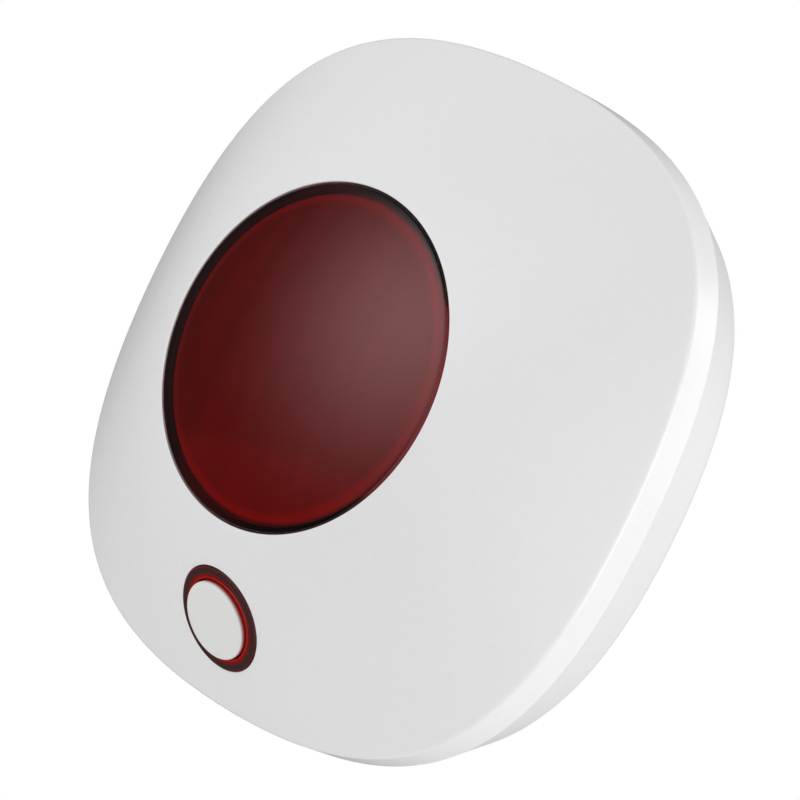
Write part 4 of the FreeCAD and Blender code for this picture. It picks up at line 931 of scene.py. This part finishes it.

# %% [markdown]
# Under the lens sits a frosted cup that spreads the flash. It follows the lens at a small gap,
# and its rounded shoulder is what one sees as the edge of the lit field. The shoulder is left
# less frosted and gets a paler tone, which is painted light, so it is brighter and draws a thin
# red line. The cup stands on the white reflector.

# %% Diffuser
DIFFUSER_GAP, DIFFUSER_WALL = 0.4, 1.4
DIFFUSER_RADIUS, DIFFUSER_BORE = 28.2, 26.8
EDGE_RADIUS, EDGE_DEPTH = 27.55, 3.0
diffuser_curve = CROWN_RADIUS - LENS_WALL - DIFFUSER_GAP
diffuser_top = crown_top - LENS_WALL - DIFFUSER_GAP
diffuser_profile = crown(diffuser_curve, diffuser_top, DIFFUSER_RADIUS, 30)[::-1]
diffuser_profile += [(DIFFUSER_RADIUS, lens_low), (DIFFUSER_BORE, lens_low)]
diffuser_profile += crown(
    diffuser_curve - DIFFUSER_WALL, diffuser_top - DIFFUSER_WALL, DIFFUSER_BORE, 20
)
diffuser_build = lathe(diffuser_profile, steps=144)
shoulder = diffuser_top - diffuser_curve + math.sqrt(diffuser_curve**2 - DIFFUSER_RADIUS**2)
round_ring(diffuser_build, DIFFUSER_RADIUS, shoulder, width=0.7, segments=5)
mark_second(diffuser_build, EDGE_RADIUS, shoulder - EDGE_DEPTH, math.inf)
make_piece(
    "diffuser_cup", diffuser_build, "frosted", "housing", "strobe_diffuser",
    second="frosted_painted_light",
)

# %% [markdown]
# Three finishes get painted light and shade by the place on a round piece. On the light ring,
# the distance from the button's axis paints the bright inner band as a painted glow, the dark
# band beside it as painted shade, the thin red line near the outer edge of the clear sleeve as
# a painted highlight and a dark rim outside it as painted shade. On the cap, the height along
# that axis marks the foot of its wall, which gets a painted red reflection of the ring's glow.
# On the diffuser, the distance from the lens's axis paints a paler edge of the field as painted
# light. A mapping node carries a point of the object into the round piece's own frame. A zone
# holds the two distances in metres between which it fades in, and its tone.

# %% Round zones
# Painted glow, painted shade, a painted highlight and painted shade on the light ring, from the
# bore out.
RING_PAINTED_LIGHT_ZONES = (
    (0.00745, 0.00790, (0.20, 0.008, 0.006)),
    (0.00800, 0.00840, (0.050, 0.026, 0.027)),
    (0.00905, 0.00925, (0.16, 0.016, 0.014)),
    (0.00932, 0.00945, (0.03, 0.008, 0.008)),
)
# A painted red reflection of the light ring on the foot of the cap's wall.
CAP_PAINTED_REFLECTION_ZONES = ((0.0009, 0.0001, (0.30, 0.010, 0.007)),)
# Painted light: a paler edge of the diffuser's field.
FIELD_PAINTED_LIGHT_ZONES = ((0.0258, 0.0277, (0.97, 0.92, 0.90)),)


def place_on(material, matrix, part):
    """A point's distance from an axis, or its height along it, in metres, as a node socket."""
    tree = material.node_tree
    place = tree.nodes.new("ShaderNodeTexCoord")
    to_axis = tree.nodes.new("ShaderNodeMapping")
    to_axis.vector_type = "TEXTURE"
    to_axis.inputs["Location"].default_value = matrix.to_translation()
    to_axis.inputs["Rotation"].default_value = matrix.to_euler()
    tree.links.new(place.outputs["Object"], to_axis.inputs["Vector"])
    if part == "height":
        split = tree.nodes.new("ShaderNodeSeparateXYZ")
        tree.links.new(to_axis.outputs["Vector"], split.inputs[0])
        return split.outputs["Z"]
    flat = tree.nodes.new("ShaderNodeVectorMath")
    flat.operation = "MULTIPLY"
    flat.inputs[1].default_value = (1.0, 1.0, 0.0)
    tree.links.new(to_axis.outputs["Vector"], flat.inputs[0])
    length = tree.nodes.new("ShaderNodeVectorMath")
    length.operation = "LENGTH"
    tree.links.new(flat.outputs["Vector"], length.inputs[0])
    return length.outputs["Value"]


def button_frame():
    """The button's axis in metres, turned as the finished pieces are."""
    whole = STAND_UP @ AT_BUTTON
    lean = whole.to_quaternion().to_matrix().to_4x4()
    return Matrix.Translation(whole.to_translation()) @ lean


def add_zones(name, matrix, part, zones):
    """Lays a finish's zones over each other, from the first to the last."""
    material = FINISHES[name]
    value = place_on(material, matrix, part)
    for start, end, tone in zones:
        over(material, threshold(material, value, start, end), tone)


add_zones("red_ring", button_frame(), "distance", RING_PAINTED_LIGHT_ZONES)
add_zones("white_cap", button_frame(), "height", CAP_PAINTED_REFLECTION_ZONES)
add_zones("frosted", STAND_UP, "distance", FIELD_PAINTED_LIGHT_ZONES)
print("zones", len(RING_PAINTED_LIGHT_ZONES), len(CAP_PAINTED_REFLECTION_ZONES), len(FIELD_PAINTED_LIGHT_ZONES))

# %% [markdown]
# The light ring is a clear red sleeve with a flange. Its top follows the dome, which is curved:
# after turning, every point of the top is dropped onto the dome along the button's axis and
# then raised by a fifth of a millimetre. Two legs reach down to the small lights on the
# button's board.

# %% Light ring
RING_RADIUS, RING_BORE = 9.5, 7.2
RING_FLANGE = 10.8
TOP_RADII = (RING_RADIUS, 9.2, 8.4, 7.6, RING_BORE)
RING_LOW, FLANGE_TOP = -5.6, -4.4
RING_PROUD = 0.2
RING_ROUNDING = 0.18
BELOW_TOP = -1.5
LEG_SIZES = (1.8, 3.2, 7.3)
LEG_OUT, LEG_MIDDLE = 9.9, -9.05
ring_build = lathe([
    (RING_BORE, RING_LOW), (RING_FLANGE, RING_LOW), (RING_FLANGE, FLANGE_TOP),
    (RING_RADIUS, FLANGE_TOP), *((radius, 0.0) for radius in TOP_RADII),
], steps=128)
button_axis = AT_BUTTON.to_3x3() @ Vector((0.0, 0.0, 1.0))
for vert in ring_build.verts:
    if abs(vert.co.z) < NEAR:
        landing = drop(AT_BUTTON @ vert.co, button_axis)
        vert.co.z = (AT_BUTTON.inverted() @ landing).z + RING_PROUD
top_rims = [
    edge for edge in ring_build.edges
    if min(vert.co.z for vert in edge.verts) > BELOW_TOP
    and any(all(abs(vert.co.xy.length - radius) < NEAR for vert in edge.verts)
            for radius in (RING_RADIUS, RING_BORE))
]
bmesh.ops.bevel(
    ring_build, geom=top_rims, offset=RING_ROUNDING, segments=3, affect="EDGES", profile=0.5
)
for side in (-1.0, 1.0):
    leg = bmesh.ops.create_cube(ring_build, size=1.0)["verts"]
    bmesh.ops.scale(ring_build, vec=LEG_SIZES, verts=leg)
    bmesh.ops.translate(ring_build, vec=(side * LEG_OUT, 0.0, LEG_MIDDLE), verts=leg)
bmesh.ops.transform(ring_build, matrix=AT_BUTTON, verts=ring_build.verts)
make_piece("ring_sleeve", ring_build, "red_ring", "housing", "light_ring")

# %% [markdown]
# The push button is a turned white cap with a stem and a stop flange. Its crown is low, and its
# edge is rounded by half a millimetre, which is what makes it look soft to the finger.

# %% Button cap
CAP_RADIUS, CAP_BORE = 7.0, 5.6
CAP_EDGE, CAP_RISE = 1.1, 0.5
CAP_INSIDE = -0.8
STOP_RADIUS, STOP_TOP, STOP_LOW = 8.4, -5.9, -6.9
STEM_RADIUS, STEM_END = 2.2, -9.1
cap_curve = (CAP_RADIUS**2 + CAP_RISE**2) / (2.0 * CAP_RISE)
cap_profile = crown(cap_curve, CAP_EDGE + CAP_RISE, CAP_RADIUS, 12)[::-1]
cap_profile += [(CAP_RADIUS, STOP_TOP), (STOP_RADIUS, STOP_TOP), (STOP_RADIUS, STOP_LOW)]
cap_profile += [(CAP_BORE, STOP_LOW), (CAP_BORE, CAP_INSIDE), (STEM_RADIUS, CAP_INSIDE)]
cap_profile += [(STEM_RADIUS, STEM_END), (0.0, STEM_END)]
cap_build = lathe(cap_profile, steps=128)
round_ring(cap_build, CAP_RADIUS, CAP_EDGE, width=0.55, segments=6)
round_ring(cap_build, STOP_RADIUS, STOP_TOP, width=0.15, segments=2)
bmesh.ops.transform(cap_build, matrix=AT_BUTTON, verts=cap_build.verts)
make_piece("cap_button", cap_build, "white_cap", "button", "button_cap", sharp=40.0)

# %% [markdown]
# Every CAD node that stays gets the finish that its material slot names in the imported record.

# %% Finishes of the CAD nodes
slot_of = {part["node"]: part["material_slot"] for part in frame["record"]["subparts"]}
for node_name, node in nodes.items():
    node.data.materials.clear()
    node.data.materials.append(FINISHES[slot_of[node_name]])
print("finished nodes", len(slot_of))
